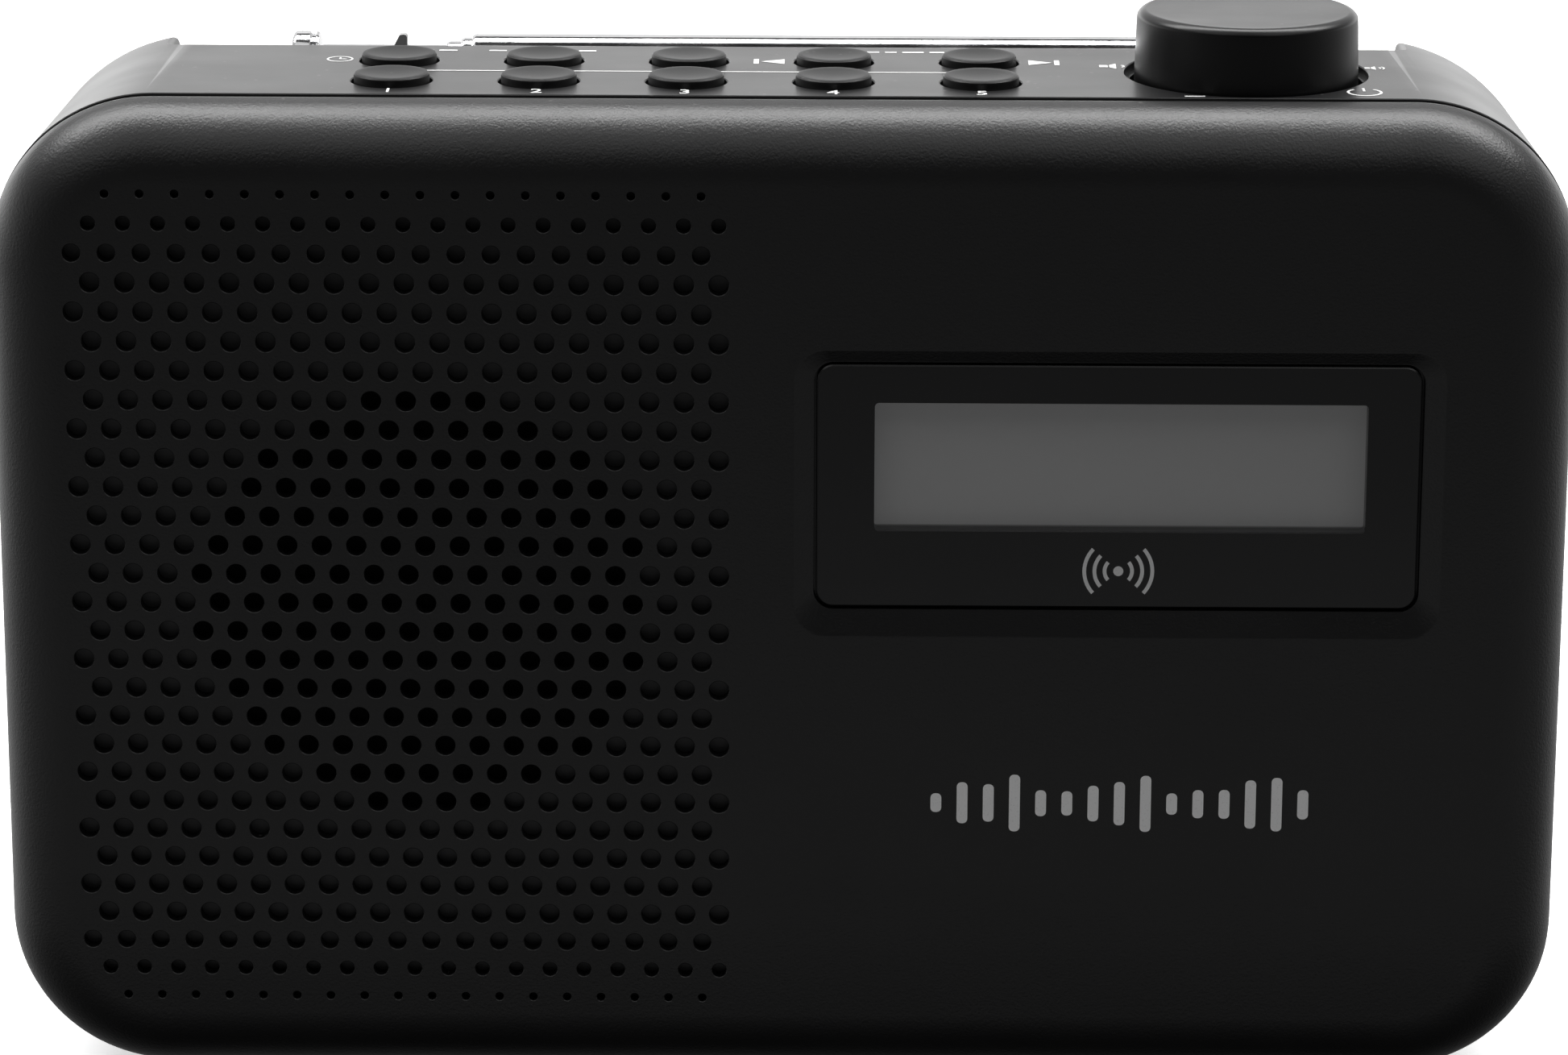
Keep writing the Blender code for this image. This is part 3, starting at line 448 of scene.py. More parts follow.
def build_circuit_board():
    """Green solder resist over copper tracks, with tinned pads."""
    material, tree, shader = new_finish("circuit_board", (0.02, 0.11, 0.05), 0.42)
    place = place_on_object(tree, 0.0021)
    inputs = {"Vector": place, "Scale": 0.8, "Randomness": 0.6}
    tracks = voronoi(tree, inputs, distance="CHEBYCHEV", feature="F2")
    track = span(tree, maths(tree, "FRACT", maths(tree, "MULTIPLY", tracks, 3.0)), 0.45, 0.55)
    pads = voronoi(tree, {"Vector": place, "Scale": 0.9, "Randomness": 0.2})
    pad = span(tree, pads, 0.14, 0.18, 1.0, 0.0)
    resist = blend_colour(tree, track, (0.010, 0.070, 0.030), (0.022, 0.13, 0.055))
    colour = blend_colour(tree, pad, resist, (0.55, 0.54, 0.50))
    feed(tree, shader, colour, span(tree, pad, 0.0, 1.0, 0.42, 0.28), track, 0.00003)
    return material


def printed(name, colour):
    """A screen-printed mark: slightly uneven ink with pinholes."""
    material, tree, shader = new_finish(name, colour, 0.55)
    texture = use_group(tree, "Mould Grain", Size=0.00025)
    thin = span(tree, texture["Tone"], 0.30, 0.42, 0.0, 1.0)
    marks = use_group(tree, "Handling Marks", Size=0.01, Low=0.5, High=0.62)
    ink = blend_colour(tree, thin, lifted(colour, 0.82), colour)
    feed(tree, shader, ink, marks["Roughness"], texture["Height"], 0.000004)
    return material


# Each finish's builder and values. The rear casing's mould is smoother than the front cover's,
# and the window's black print is smoother than either.
FINISH_RECIPES = {
    "case": (moulded, "radio_case.colour", 0.35, 0.40, 0.00036, 0.000045),
    "casing": (moulded, "radio_case.colour", 0.30, 0.35, 0.00035, 0.000004),
    # Dot floors: the case's black plastic given a much lighter colour, as painted light that makes
    # up for the shade deep in the dots.
    "pocket": (moulded, (0.045, 0.045, 0.047), 0.44, 0.52, 0.00038, 0.000012, 0.0),
    "key": (moulded, (0.0025, 0.0025, 0.0027), 0.44, 0.50, 0.00030, 0.000005, 0.15, 0.32),
    "knob": (moulded, (0.0018, 0.0018, 0.0020), 0.30, 0.36, 0.00030, 0.000005, 0.2, 0.34),
    "clip": (moulded, (0.26, 0.26, 0.26), 0.40, 0.50, 0.00030, 0.000005, 0.1),
    "mask": (moulded, (0.0035, 0.0035, 0.0038), 0.24, 0.30, 0.0010, 0.000001, 0.0),
    "socket": (moulded, (0.016, 0.016, 0.017), 0.45, 0.55, 0.00038, 0.000012, 0.0),
    "pane": (build_window_pane,),
    "display": (build_display_glass,),
    "cloth": (build_dust_cloth,),
    "board": (build_circuit_board,),
    "chrome": (metal, (0.88, 0.88, 0.89), 0.08, 0.16),
    "steel": (metal, (0.52, 0.52, 0.53), 0.24, 0.38, (0.30, 0.28, 0.25), 0.0003, 4e-6),
    "rubber": (dull, (0.018, 0.018, 0.018), 0.78, 0.0003, 0.00001),
    "paper": (dull, (0.030, 0.030, 0.032), 0.72, 0.0009, 0.00003, 0.9),
    "ferrite": (dull, (0.045, 0.045, 0.05), 0.60, 0.0005, 0.00002, 0.6),
    "wire": (dull, (0.32, 0.018, 0.015), 0.45, 0.0008, 0.000004, 0.3),
    "light_guide": (dull, (0.74, 0.74, 0.72), 0.32, 0.0012, 0.000003, 0.1),
    "white_ink": (printed, "radio_controls.ink"),
    # The front print's colour is lifted above the white ink's as painted light, which makes up for
    # the dim light on the front.
    "grey_ink": (printed, (0.93, 0.93, 0.93)),
    "dim_ink": (printed, (0.72, 0.72, 0.72)),
}
MATERIAL_NAMES = {
    "case": "case_plastic",
    "casing": "casing_plastic",
    "pocket": "pocket_plastic",
    "key": "key_plastic",
    "knob": "knob_plastic",
    "clip": "clip_nylon",
    "mask": "window_mask",
    "socket": "socket_plastic",
    "steel": "plated_steel",
    "rubber": "black_rubber",
    "paper": "coated_paper",
    "wire": "wire_sleeve",
}


def finish_of(name):
    """The finish with this name, which is built when a piece first needs it."""
    if name not in FINISHES:
        build, *values = FINISH_RECIPES[name]
        if values and isinstance(values[0], str):
            settings, attribute = values[0].split(".")
            values[0] = tuple(getattr(getattr(bpy.context.scene, settings), attribute))
        if values:
            values.insert(0, MATERIAL_NAMES.get(name, name))
        FINISHES[name] = build(*values)
    return FINISHES[name]


# ---------------------------------------------------------------- shaping


def rounded_outline(low_u, high_u, low_v, high_v, radius, steps):
    """Points (u, v) of a rounded rectangle, anticlockwise from its lower right corner."""
    right, left = high_u - radius, low_u + radius
    top, bottom = high_v - radius, low_v + radius
    points = []
    corners = ((right, bottom, -90), (right, top, 0), (left, top, 90), (left, bottom, 180))
    for u, v, start in corners:
        for step in range(steps + 1):
            angle = math.radians(start + 90 * step / steps)
            points.append((u + radius * math.cos(angle), v + radius * math.sin(angle)))
    return points


def at_y(outline, y):
    return [Vector((u, y, v)) for u, v in outline]


def at_z(outline, z):
    return [Vector((u, v, z)) for u, v in outline]


def skin(bm, rings):
    """Adds a closed solid whose sides pass through rings of the same number of points."""
    rows = [[bm.verts.new(point) for point in ring] for ring in rings]
    count = len(rows[0])
    for lower, upper in zip(rows, rows[1:]):
        for i in range(count):
            j = (i + 1) % count
            bm.faces.new((lower[i], lower[j], upper[j], upper[i]))
    bm.faces.new(rows[0][::-1])
    bm.faces.new(rows[-1])


def turn(bm, profile, centre=(0, 0, 0), axis="Z", segments=48):
    """Adds a turned solid from (radius, height) pairs, which close into a ring off the axis."""
    matrix = Matrix.Translation(centre) @ AXIS_TURN[axis]
    angles = [2 * math.pi * i / segments for i in range(segments)]
    rings = []
    for radius, height in profile:
        around = angles if radius else angles[:1]
        rings.append(
            [
                bm.verts.new(matrix @ Vector((radius * math.cos(a), radius * math.sin(a), height)))
                for a in around
            ]
        )
    pairs = list(zip(rings, rings[1:]))
    if profile[0][0]:
        pairs.append((rings[-1], rings[0]))
    for lower, upper in pairs:
        for i in range(segments):
            j = (i + 1) % segments
            corners = (
                lower[i % len(lower)],
                lower[j % len(lower)],
                upper[j % len(upper)],
                upper[i % len(upper)],
            )
            bm.faces.new(list(dict.fromkeys(corners)))


def bore(bm, centre, radius, depth, axis, inward=1, flare=0.0001, lift=0.0004, segments=24):
    """Adds a cutter for a round hole with a small flared mouth at centre.

    The hole runs depth along the axis, or against it where inward is -1.
    """
    profile = [
        (0, -lift), (radius + flare + lift, -lift), (radius, flare), (radius, depth), (0, depth),
    ]
    turn(bm, [(r, inward * h) for r, h in profile], centre, axis, segments)


def block(bm, low, high, radius=0.0, edge=0.0, steps=5, along="Z"):
    """Adds a block with rounded corners round its long axis and softened edges at both ends."""
    frames = {"Z": (0, 1, 2), "Y": (0, 2, 1), "X": (1, 2, 0)}
    u, v, w = frames[along]
    ends = [(edge, low[w]), (0.3 * edge, low[w] + 0.3 * edge), (0, low[w] + edge)]
    ends += [(0, high[w] - edge), (0.3 * edge, high[w] - 0.3 * edge), (edge, high[w])]
    if not edge:
        ends = [(0, low[w]), (0, high[w])]
    rings = []
    for inset, level in ends:
        corner = max(radius - inset, 0.00002)
        outline = rounded_outline(
            low[u] + inset, high[u] - inset, low[v] + inset, high[v] - inset, corner, steps
        )
        ring = []
        for a, b in outline:
            point = [0.0, 0.0, 0.0]
            point[u], point[v], point[w] = a, b, level
            ring.append(Vector(point))
        rings.append(ring)
    skin(bm, rings)


def mesh_object(name, bm):
    bmesh.ops.recalc_face_normals(bm, faces=bm.faces)
    mesh = bpy.data.meshes.new(name)
    bm.to_mesh(mesh)
    bm.free()
    obj = bpy.data.objects.new(name, mesh)
    bpy.context.scene.collection.objects.link(obj)
    return obj


def new_solid(name, add, *arguments, **options):
    """A helper object that holds one solid."""
    bm = bmesh.new()
    add(bm, *arguments, **options)
    return mesh_object(name, bm)


def turned(name, profile, centre=(0, 0, 0), axis="Z", segments=48):
    """A helper object that holds one turned solid."""
    return new_solid(name, turn, profile, centre, axis, segments)


def blocked(name, low, high, radius=0.0, along="Z", **options):
    """A helper object that holds one block."""
    return new_solid(name, block, low, high, radius=radius, along=along, **options)


def plug(radius, low, high):
    """The profile of a plain cylinder."""
    return [(0, low), (radius, low), (radius, high), (0, high)]


def mesh_of_curve(curve):
    """The mesh that a curve or a text makes, without leaving the curve in the scene."""
    obj = bpy.data.objects.new(curve.name, curve)
    bpy.context.scene.collection.objects.link(obj)
    bpy.context.view_layer.update()
    graph = bpy.context.evaluated_depsgraph_get()
    mesh = bpy.data.meshes.new_from_object(obj.evaluated_get(graph))
    bpy.data.objects.remove(obj, do_unlink=True)
    return mesh


def cut(obj, *helpers):
    return carve(obj, *[("DIFFERENCE", helper) for helper in helpers])


def carve(obj, *steps):
    """Carries out Boolean steps, given as (operation, helper), and keeps only the result."""
    before = len(obj.data.polygons)
    for operation, helper in steps:
        modifier = obj.modifiers.new(helper.name, "BOOLEAN")
        modifier.operation = operation
        modifier.object = helper
        modifier.solver = "MANIFOLD"
    bpy.context.view_layer.update()
    evaluated = obj.evaluated_get(bpy.context.evaluated_depsgraph_get())
    mesh = bpy.data.meshes.new_from_object(evaluated)
    obj.modifiers.clear()
    obj.data = mesh
    for _, helper in steps:
        bpy.data.objects.remove(helper, do_unlink=True)
    if len(mesh.polygons) in (0, before):
        raise RuntimeError(f"{obj.name}: a Boolean step changed nothing")
    return obj


def dress(obj, finish, body, replaces=(), sharp=32, weighted=True):
    """Gives a finished mesh its shading and finish, and ties it to the frame."""
    materials = [finish] if isinstance(finish, str) else finish
    obj.data.materials.clear()
    for name in materials:
        obj.data.materials.append(finish_of(name))
    obj.data.shade_smooth()
    obj.data.set_sharp_from_angle(angle=math.radians(sharp))
    if weighted:
        normals = obj.modifiers.new("even_shading", "WEIGHTED_NORMAL")
        normals.keep_sharp = True
    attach(obj, body)
    if replaces:
        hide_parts(*replaces)
    return obj


def casing_outline(inset, y=CASING_Y):
    """The case's outline. Behind the seam it narrows and grows rounder towards the back."""
    case = bpy.context.scene.radio_case
    share = (y - CASING_Y) / (REAR_Y - CASING_Y)
    side = HALF_WIDTH - inset - 0.0010 * share
    radius = case.corner_radius - inset + 0.0018 * share
    return rounded_outline(-side, side, BASE_Z + inset, TOP_Z - inset, radius, case.corner_steps)


def rim_arc(face_y, direction, rounding, radius, steps=18):
    """(inset, y) along the rounded rim, from the flat face out to the side wall."""
    arc = []
    for step in range(steps + 1):
        angle = math.pi / 2 * step / steps
        arc.append(
            (
                rounding - radius * math.sin(angle),
                face_y + direction * (rounding - radius * math.cos(angle)),
            )
        )
    return arc


def add_cover_shell(bm):
    """The front cover's skin and inner wall. Its rim rolls in a little at the seam."""
    case = bpy.context.scene.radio_case
    rounding, wall = case.front_round, case.wall
    turn_in = math.radians(78)
    small = 0.004
    inner = rim_arc(FRONT_Y, 1, rounding, rounding - wall)
    outer = rim_arc(FRONT_Y, 1, rounding, rounding)
    outer = [(inset, y) for inset, y in outer if y < FRONT_Y + 0.0071]
    middle_inset = rounding - (rounding - small) * math.sin(turn_in)
    middle_y = FRONT_Y + rounding - (rounding - small) * math.cos(turn_in)
    for step in range(7):
        y = middle_y + (SEAM_Y - middle_y) * step / 6
        outer.append((middle_inset - math.sqrt(small**2 - (y - middle_y) ** 2), y))
    edge = outer[-1][0] + 0.0001
    rings = [*inner, (wall, SEAM_Y), (edge, SEAM_Y)]
    outer[-1] = (outer[-1][0], SEAM_Y - 0.0001)
    rings += outer[::-1]
    skin(bm, [at_y(casing_outline(inset), y) for inset, y in rings])


# ---------------------------------------------------------------- front cover


def dot_places():
    """(x, z, row, is open) of every dot: staggered rows, open within the loudspeaker's circle."""
    pitch = bpy.context.scene.radio_grille.pitch
    ratio = math.sqrt(3) / 2
    for row in range(-DOT_ROWS, DOT_ROWS + 1):
        even = row % 2 == 0
        shift = 0.1 if even else -0.4
        first = -9 if abs(row) == DOT_ROWS or not even else -10
        last = 8 if even else 9
        for column in range(first, last + 1):
            u = column + shift
            v = row * ratio
            x = DOT_MIDDLE[0] + u * pitch
            z = DOT_MIDDLE[1] + v * pitch
            yield x, z, row, math.hypot(u, v) < OPEN_RADIUS


def add_dot_cutters(bm):
    grille = bpy.context.scene.radio_grille
    wall = bpy.context.scene.radio_case.wall
    for x, z, row, is_open in dot_places():
        radius = EDGE_DOTS.get(abs(row), grille.hole) / 2
        depth = grille.depth
        if is_open:
            depth = wall + 0.0010
        elif row > 10:
            depth += 0.00015
        bore(bm, (x, FRONT_Y, z), radius, depth, "Y", flare=0.00008, lift=0.0002, segments=24)


def grown(sides, margins, factor=1.0):
    """(low_u, high_u, low_v, high_v) moved outwards by one margin, or by one for each side."""
    left, right, below, above = margins if isinstance(margins, tuple) else (margins,) * 4
    return (
        sides[0] - left * factor,
        sides[1] + right * factor,
        sides[2] - below * factor,
        sides[3] + above * factor,
    )


def add_window_ramp(bm):
    opening = grown(WINDOW, GAP)
    step = WINDOW_LOW.y - FRONT_Y
    rings = []
    for share, depth in ((1.04, -0.04), (1.0, 0.0), (0.90, 0.05), (0.10, 0.93), (0.0, 1.0)):
        sides = grown(opening, RAMP_MARGINS, share)
        radius = 0.0023 + 0.0016 * share
        rings.append(at_y(rounded_outline(*sides, radius, 10), FRONT_Y + depth * step))
    skin(bm, rings)


def build_front_cover():
    case = bpy.context.scene.radio_case
    cover = new_solid("front_cover", add_cover_shell)
    left, right, below, above = grown(WINDOW, GAP)
    near, far = (left, FRONT_Y - 0.002, below), (right, FRONT_Y + 0.006, above)
    opening = blocked("window_opening", near, far, 0.0023, "Y", steps=10)
    dots, ramp = new_solid("dots", add_dot_cutters), new_solid("window_ramp", add_window_ramp)
    cut(cover, dots, ramp, opening)
    dress(cover, ("case", "pocket"), "case", ["front_shell"])
    # The floors of the blind dots take the second finish, whose lighter colour is painted light.
    floor_low, floor_high = FRONT_Y + 0.0011, FRONT_Y + case.wall - 0.0001
    for face in cover.data.polygons:
        if face.normal.y < -0.9 and floor_low < face.center.y < floor_high:
            face.material_index = 1


# ---------------------------------------------------------------- rear casing


def add_cell_bay(bm):
    """The battery compartment's hollow, with a cradle for each of the four cells."""
    cell = (CELL_X[1] - CELL_X[0]) / 4
    radius = cell / 2 - 0.0001
    ridge_y = CELL_BACK + 0.0034
    middle_y = CELL_BACK + radius
    reach = math.asin((middle_y - ridge_y) / radius)
    outline = [(CELL_X[0], REAR_Y + 0.003)]
    for number in range(4):
        middle_x = CELL_X[0] + cell * (number + 0.5)
        for step in range(13):
            angle = math.pi + reach + (math.pi - 2 * reach) * step / 12
            outline.append(
                (middle_x + radius * math.cos(angle), middle_y + radius * math.sin(angle))
            )
    outline.append((CELL_X[1], REAR_Y + 0.003))
    skin(bm, [at_z(outline, z) for z in CELL_Z])


def door_sides(margin):
    low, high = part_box("battery_door")
    middle = (CELL_X[0] + CELL_X[1]) / 2
    half = middle - CELL_X[0] + 0.0016 + margin
    return (middle - half, low.z - margin, middle + half, high.z + margin)


def add_round_cutters(bm):
    """Every flared round hole of the rear casing."""
    cap_hole = 0.00485
    for place in BUTTON_PLACES.values():
        bore(bm, (place.x, place.y, TOP_Z), cap_hole, 0.005, "Z", -1, 0.00012, segments=56)
    for x, z in SCREW_PLACES:
        bore(bm, (x, REAR_Y, z), 0.0033, REAR_Y - 0.0060, "Y", -1, 0.0004, segments=36)
    for node in ("headphone_socket", "power_socket"):
        place = (box_centre(node).x, REAR_Y, SOCKET_Z)
        bore(bm, place, 0.0039, 0.006, "Y", -1, 0.0003, segments=40)
    for n in range(1, 5):
        foot = box_centre(f"foot_{n}")
        bore(bm, (foot.x, foot.y, BASE_Z), 0.0054, 0.0008, "Z", 1, 0.0001, segments=40)


def add_aerial_bay(bm):
    """The aerial's bay, open at the top and the back, with a rounded rim."""
    rim = 0.0016
    levels = [(0.0005, BAY_FLOOR), (0.00015, BAY_FLOOR + 0.00015), (0, BAY_FLOOR + 0.0005)]
    for step in range(8):
        angle = math.pi / 2 * step / 7
        levels.append((-rim * (1 - math.cos(angle)), TOP_Z - rim * (1 - math.sin(angle))))
    levels.append((-rim, TOP_Z + 0.004))
    rings = []
    for inset, z in levels:
        sides = grown((-BAY_X, BAY_X, BAY_Y, REAR_Y + 0.006), -inset)
        rings.append(at_z(rounded_outline(*sides, rim - inset, 8), z))
    skin(bm, rings)


def casing_hollow(rings):
    """The space inside the casing, less the walls of its bays, the knob's well and the posts."""
    wall = bpy.context.scene.radio_case.wall
    hollow = new_solid("hollow", skin, rings)
    posts = bmesh.new()
    for x, z in SCREW_PLACES:
        turn(posts, plug(0.0044, CASING_Y + 0.0006, REAR_Y), (x, 0, z), "Y")
    return cut(
        hollow,
        blocked(
            "bay_walls",
            (-BAY_X - wall, BAY_Y - 0.0019, BAY_FLOOR - wall),
            (BAY_X + wall, REAR_Y + wall, TOP_Z + wall),
        ),
        blocked(
            "cell_walls",
            (CELL_X[0] - 0.0036, CELL_BACK - 0.0016, CELL_Z[0] - 0.0036),
            (CELL_X[1] + 0.0036, REAR_Y + wall, CELL_Z[1] + 0.0034),
        ),
        turned(
            "well_cup",
            plug(WELL_R + 0.0015, WELL_FLOOR - 0.0015, TOP_Z),
            (KNOB_PLACE.x, KNOB_PLACE.y, 0),
            segments=72,
        ),
        mesh_object("posts", posts),
    )


def round_plug(name, radius, low_z, high_z, place):
    """A cutter for an upright round hole."""
    return turned(name, plug(radius, low_z, high_z), (place.x, place.y, 0))


def build_rear_casing():
    case = bpy.context.scene.radio_case
    rounding, wall = case.rear_round, case.wall
    soft = 0.00012
    inner = [(wall, CASING_Y - 0.001)] + rim_arc(REAR_Y, -1, rounding, rounding - wall)[::-1]
    outer = [(soft, CASING_Y), (0.0, CASING_Y + soft)]
    outer += rim_arc(REAR_Y, -1, rounding, rounding)[::-1]
    skins = [[at_y(casing_outline(inset, y), y) for inset, y in rings] for rings in (inner, outer)]
    hollow = casing_hollow(skins[0])
    bay = new_solid("aerial_bay", add_aerial_bay)
    casing = new_solid("rear_cover", skin, skins[1])
    low_x, low_z, high_x, high_z = door_sides(0.0004)
    near, far = (low_x, REAR_Y - 0.0026, low_z), (high_x, REAR_Y + 0.004, high_z)
    ledge = TOP_Z - 0.0011
    narrow = WELL_R - 0.0006
    well = [
        (0, WELL_FLOOR), (narrow, WELL_FLOOR), (narrow, ledge - 0.0001), (narrow + 0.0001, ledge),
        (WELL_R, ledge), (WELL_R, TOP_Z - 0.00012), (WELL_R + 0.0005, TOP_Z + 0.00038),
        (0, TOP_Z + 0.00038),
    ]
    cut(
        casing,
        hollow,
        bay,
        new_solid("cells", add_cell_bay),
        blocked("doorway", near, far, 0.0012, "Y"),
        turned("well", well, (KNOB_PLACE.x, KNOB_PLACE.y, 0), segments=96),
        new_solid("round_holes", add_round_cutters),
        round_plug("bush_hole", 0.0047, 0.108, 0.118, KNOB_PLACE),
        round_plug("swivel_hole", 0.0027, 0.106, 0.116, PIVOT),
        new_solid("shank_holes", add_shank_cutters),
    )
    dress(casing, "casing", "case", ["rear_casing"])


def add_shank_cutters(bm):
    for x, z in SCREW_PLACES:
        turn(bm, plug(0.0017, CASING_Y - 0.002, 0.008), (x, 0, z), "Y", 20)


# ---------------------------------------------------------------- display


def build_window():
    """The window's black print with its opening, and the clear pane behind the opening."""
    front, rear = WINDOW_LOW.y, WINDOW_HIGH.y
    rings = []
    lip_y = FRONT_Y + bpy.context.scene.radio_case.wall + 0.0002
    for grow, y in (
        (0.0015, rear), (0.0015, lip_y), (0.0, lip_y), (0.0, front + 0.00030),
        (-0.00006, front + 0.00012), (-0.00022, front),
    ):
        sides = grown(WINDOW, grow)
        rings.append(at_y(rounded_outline(*sides, 0.0020 + grow, 10), y))
    mask = new_solid("window_mask", skin, rings)
    left, right, below, above = APERTURE
    near, far = (left, front - 0.002, below), (right, rear + 0.002, above)
    cut(mask, blocked("opening", near, far, 0.0005, "Y"))
    dress(mask, "mask", "case", ["display_window"])
    inset = 0.00002
    near = (left + inset, front + inset, below + inset)
    far = (right - inset, front + 0.0008, above - inset)
    pane = blocked("window_pane", near, far, 0.00045, "Y")
    dress(pane, "pane", "case")


# ---------------------------------------------------------------- buttons and knob


def build_buttons():
    radius = bpy.context.scene.radio_controls.cap_diameter / 2
    for name, place in BUTTON_PLACES.items():
        low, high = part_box(name)
        top = high.z
        dish = 0.00022
        profile = [(0, top - dish)]
        for step in range(1, 7):
            share = step / 6
            profile.append(((radius - 0.00075) * share, top - dish * (1 - share**2)))
        profile += [
            (radius - 0.00045, top + 0.0), (radius - 0.00018, top - 0.00006),
            (radius - 0.00004, top - 0.00020), (radius, top - 0.00042), (radius, low.z + 0.0016),
            (0.0053, low.z + 0.0016), (0.0053, low.z + 0.0008), (0.0022, low.z + 0.0008),
            (0.0022, low.z), (0, low.z),
        ]
        cap = turned(f"cap_{name}", profile, (place.x, place.y, 0), segments=64)
        dress(cap, "key", name, [name])


def build_knob():
    low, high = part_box("knob")
    foot = bpy.context.scene.radio_controls.knob_diameter / 2
    head = foot - 0.00045
    top = high.z
    hub = 0.0054
    rounding = 0.0012
    profile = [(0, top - 0.00006), (head - 0.0022, top - 0.00005)]
    for step in range(8):
        angle = math.radians(68 * step / 7)
        profile.append(
            (
                head - 0.00108 + rounding * math.sin(angle),
                top - rounding * (1 - math.cos(angle)),
            )
        )
    profile += [
        (head + 0.00005, top - 0.00092), (head + 0.0001, top - 0.0020),
        (foot - 0.0001, low.z + 0.0008), (foot, low.z + 0.0003), (foot - 0.00012, low.z),
        (foot - 0.0016, low.z), (foot - 0.0022, top - 0.0025), (hub, top - 0.0025),
        (hub, low.z + 0.0016), (0.0033, low.z + 0.0016), (0.0033, TOP_Z + 0.0048),
        (0, TOP_Z + 0.0048),
    ]
    knob = turned("knob_cap", profile, (KNOB_PLACE.x, KNOB_PLACE.y, 0), segments=128)
    dress(knob, "knob", "knob", ["knob"])


# ---------------------------------------------------------------- printing


def arc_band(u, v, inner, outer, start, end, steps=24):
    """Outline of a flat band between two radii, from one angle in degrees to another."""
    angles = [math.radians(start + (end - start) * i / steps) for i in range(steps + 1)]
    edge = [(u + outer * math.cos(a), v + outer * math.sin(a)) for a in angles]
    return edge + [(u + inner * math.cos(a), v + inner * math.sin(a)) for a in angles[::-1]]


def disc(u, v, radius, steps=24):
    angles = [2 * math.pi * i / steps for i in range(steps)]
    return [(u + radius * math.cos(a), v + radius * math.sin(a)) for a in angles]


def bar(low_u, high_u, low_v, high_v):
    return [(low_u, low_v), (high_u, low_v), (high_u, high_v), (low_u, high_v)]


def skip_mark(u, v, width, forward):
    """A skip symbol: a triangle that points at an upright bar."""
    half = width / 2
    sign = 1 if forward else -1
    tip = u + sign * (half - 0.0009)
    back = u - sign * half
    low, high = sorted((u + sign * (half - 0.0006), u + sign * half))
    below, above = v - half * 0.75, v + half * 0.75
    return [[(back, below), (tip, v), (back, above)], bar(low, high, below, above)]


def power_mark(u, v, radius):
    line = 0.0003
    return [
        arc_band(u, v, radius - line, radius, 125, 415, 36),
        bar(u - line / 2, u + line / 2, v + radius * 0.25, v + radius * 1.15),
    ]


def sound_mark(u, v, size, arcs):
    """A loudspeaker symbol with some arcs beside it."""
    shapes = [
        bar(u - size * 0.5, u - size * 0.25, v - size * 0.15, v + size * 0.15),
        [
            (u - size * 0.2, v - size * 0.17), (u, v - size * 0.38), (u, v + size * 0.38),
            (u - size * 0.2, v + size * 0.17),
        ],
    ]
    for number in range(arcs):
        radius = size * (0.2 + 0.17 * number)
        shapes.append(arc_band(u, v, radius, radius + size * 0.07, -45, 45, 10))
    return shapes


def clock_mark(u, v, radius):
    line = 0.00022
    return [
        arc_band(u, v, radius - line, radius, 0, 180, 20),
        arc_band(u, v, radius - line, radius, 180, 360, 20),
        bar(u - line / 2, u + line / 2, v, v + radius * 0.6),
        bar(u + line / 2, u + radius * 0.5, v - line / 2, v + line / 2),
    ]


def add_prints(bm, shapes, low, high, ring):
    for outline in shapes:
        skin(bm, [ring(outline, low), ring(outline, high)])


def add_digit(bm, text, u, v, height, low, high):
    """Adds one numeral lying on the top panel, read from the front."""
    curve = bpy.data.curves.new("numeral", "FONT")
    curve.body = text
    curve.size = height / 0.7
    curve.align_x = "CENTER"
    curve.align_y = "CENTER"
    curve.extrude = (high - low) / 2
    curve.resolution_u = 6
    mesh = mesh_of_curve(curve)
    mesh.transform(Matrix.Translation((u, v, (low + high) / 2)))
    bm.from_mesh(mesh)
    bpy.data.meshes.remove(mesh)


def build_top_printing():
    low, high = TOP_Z - 0.00002, TOP_Z + 0.00003
    bm = bmesh.new()
    shapes = [bar(-0.0460, 0.0230, -0.00435, -0.00405)]
    shapes += skip_mark(-0.0019, 0.0021, 0.0037, False)
    shapes += skip_mark(0.0312, 0.0021, 0.0037, True)
    shapes += clock_mark(-0.0537, 0.0024, 0.0016)
    shapes += sound_mark(0.0398, 0.0002, 0.0040, 1)
    shapes += sound_mark(0.0709, -0.0002, 0.0026, 2)
    shapes += power_mark(0.0684, -0.0146, 0.0021)
    shapes.append(bar(0.0471, 0.0495, -0.0176, -0.0172))
    for start, lengths in (
        (-0.0463, (0.0016, 0.0012, 0.0022)), (-0.0360, (0.0021, 0.0014, 0.0020, 0.0026, 0.0021)),
        (0.0092, (0.0022, 0.0014, 0.0026, 0.0018)),
    ):
        for length in lengths:
            shapes.append(bar(start, start + length, 0.0078, 0.0084))
            start += length + 0.0007
    add_prints(bm, shapes, low, high, at_z)
    for number in range(5):
        x = BUTTON_PLACES[f"button_{number + 1}"].x
        add_digit(bm, str(number + 1), x, -0.0162, 0.0022, low, high)
    dress(mesh_object("top_printing", bm), "white_ink", "case", weighted=False)


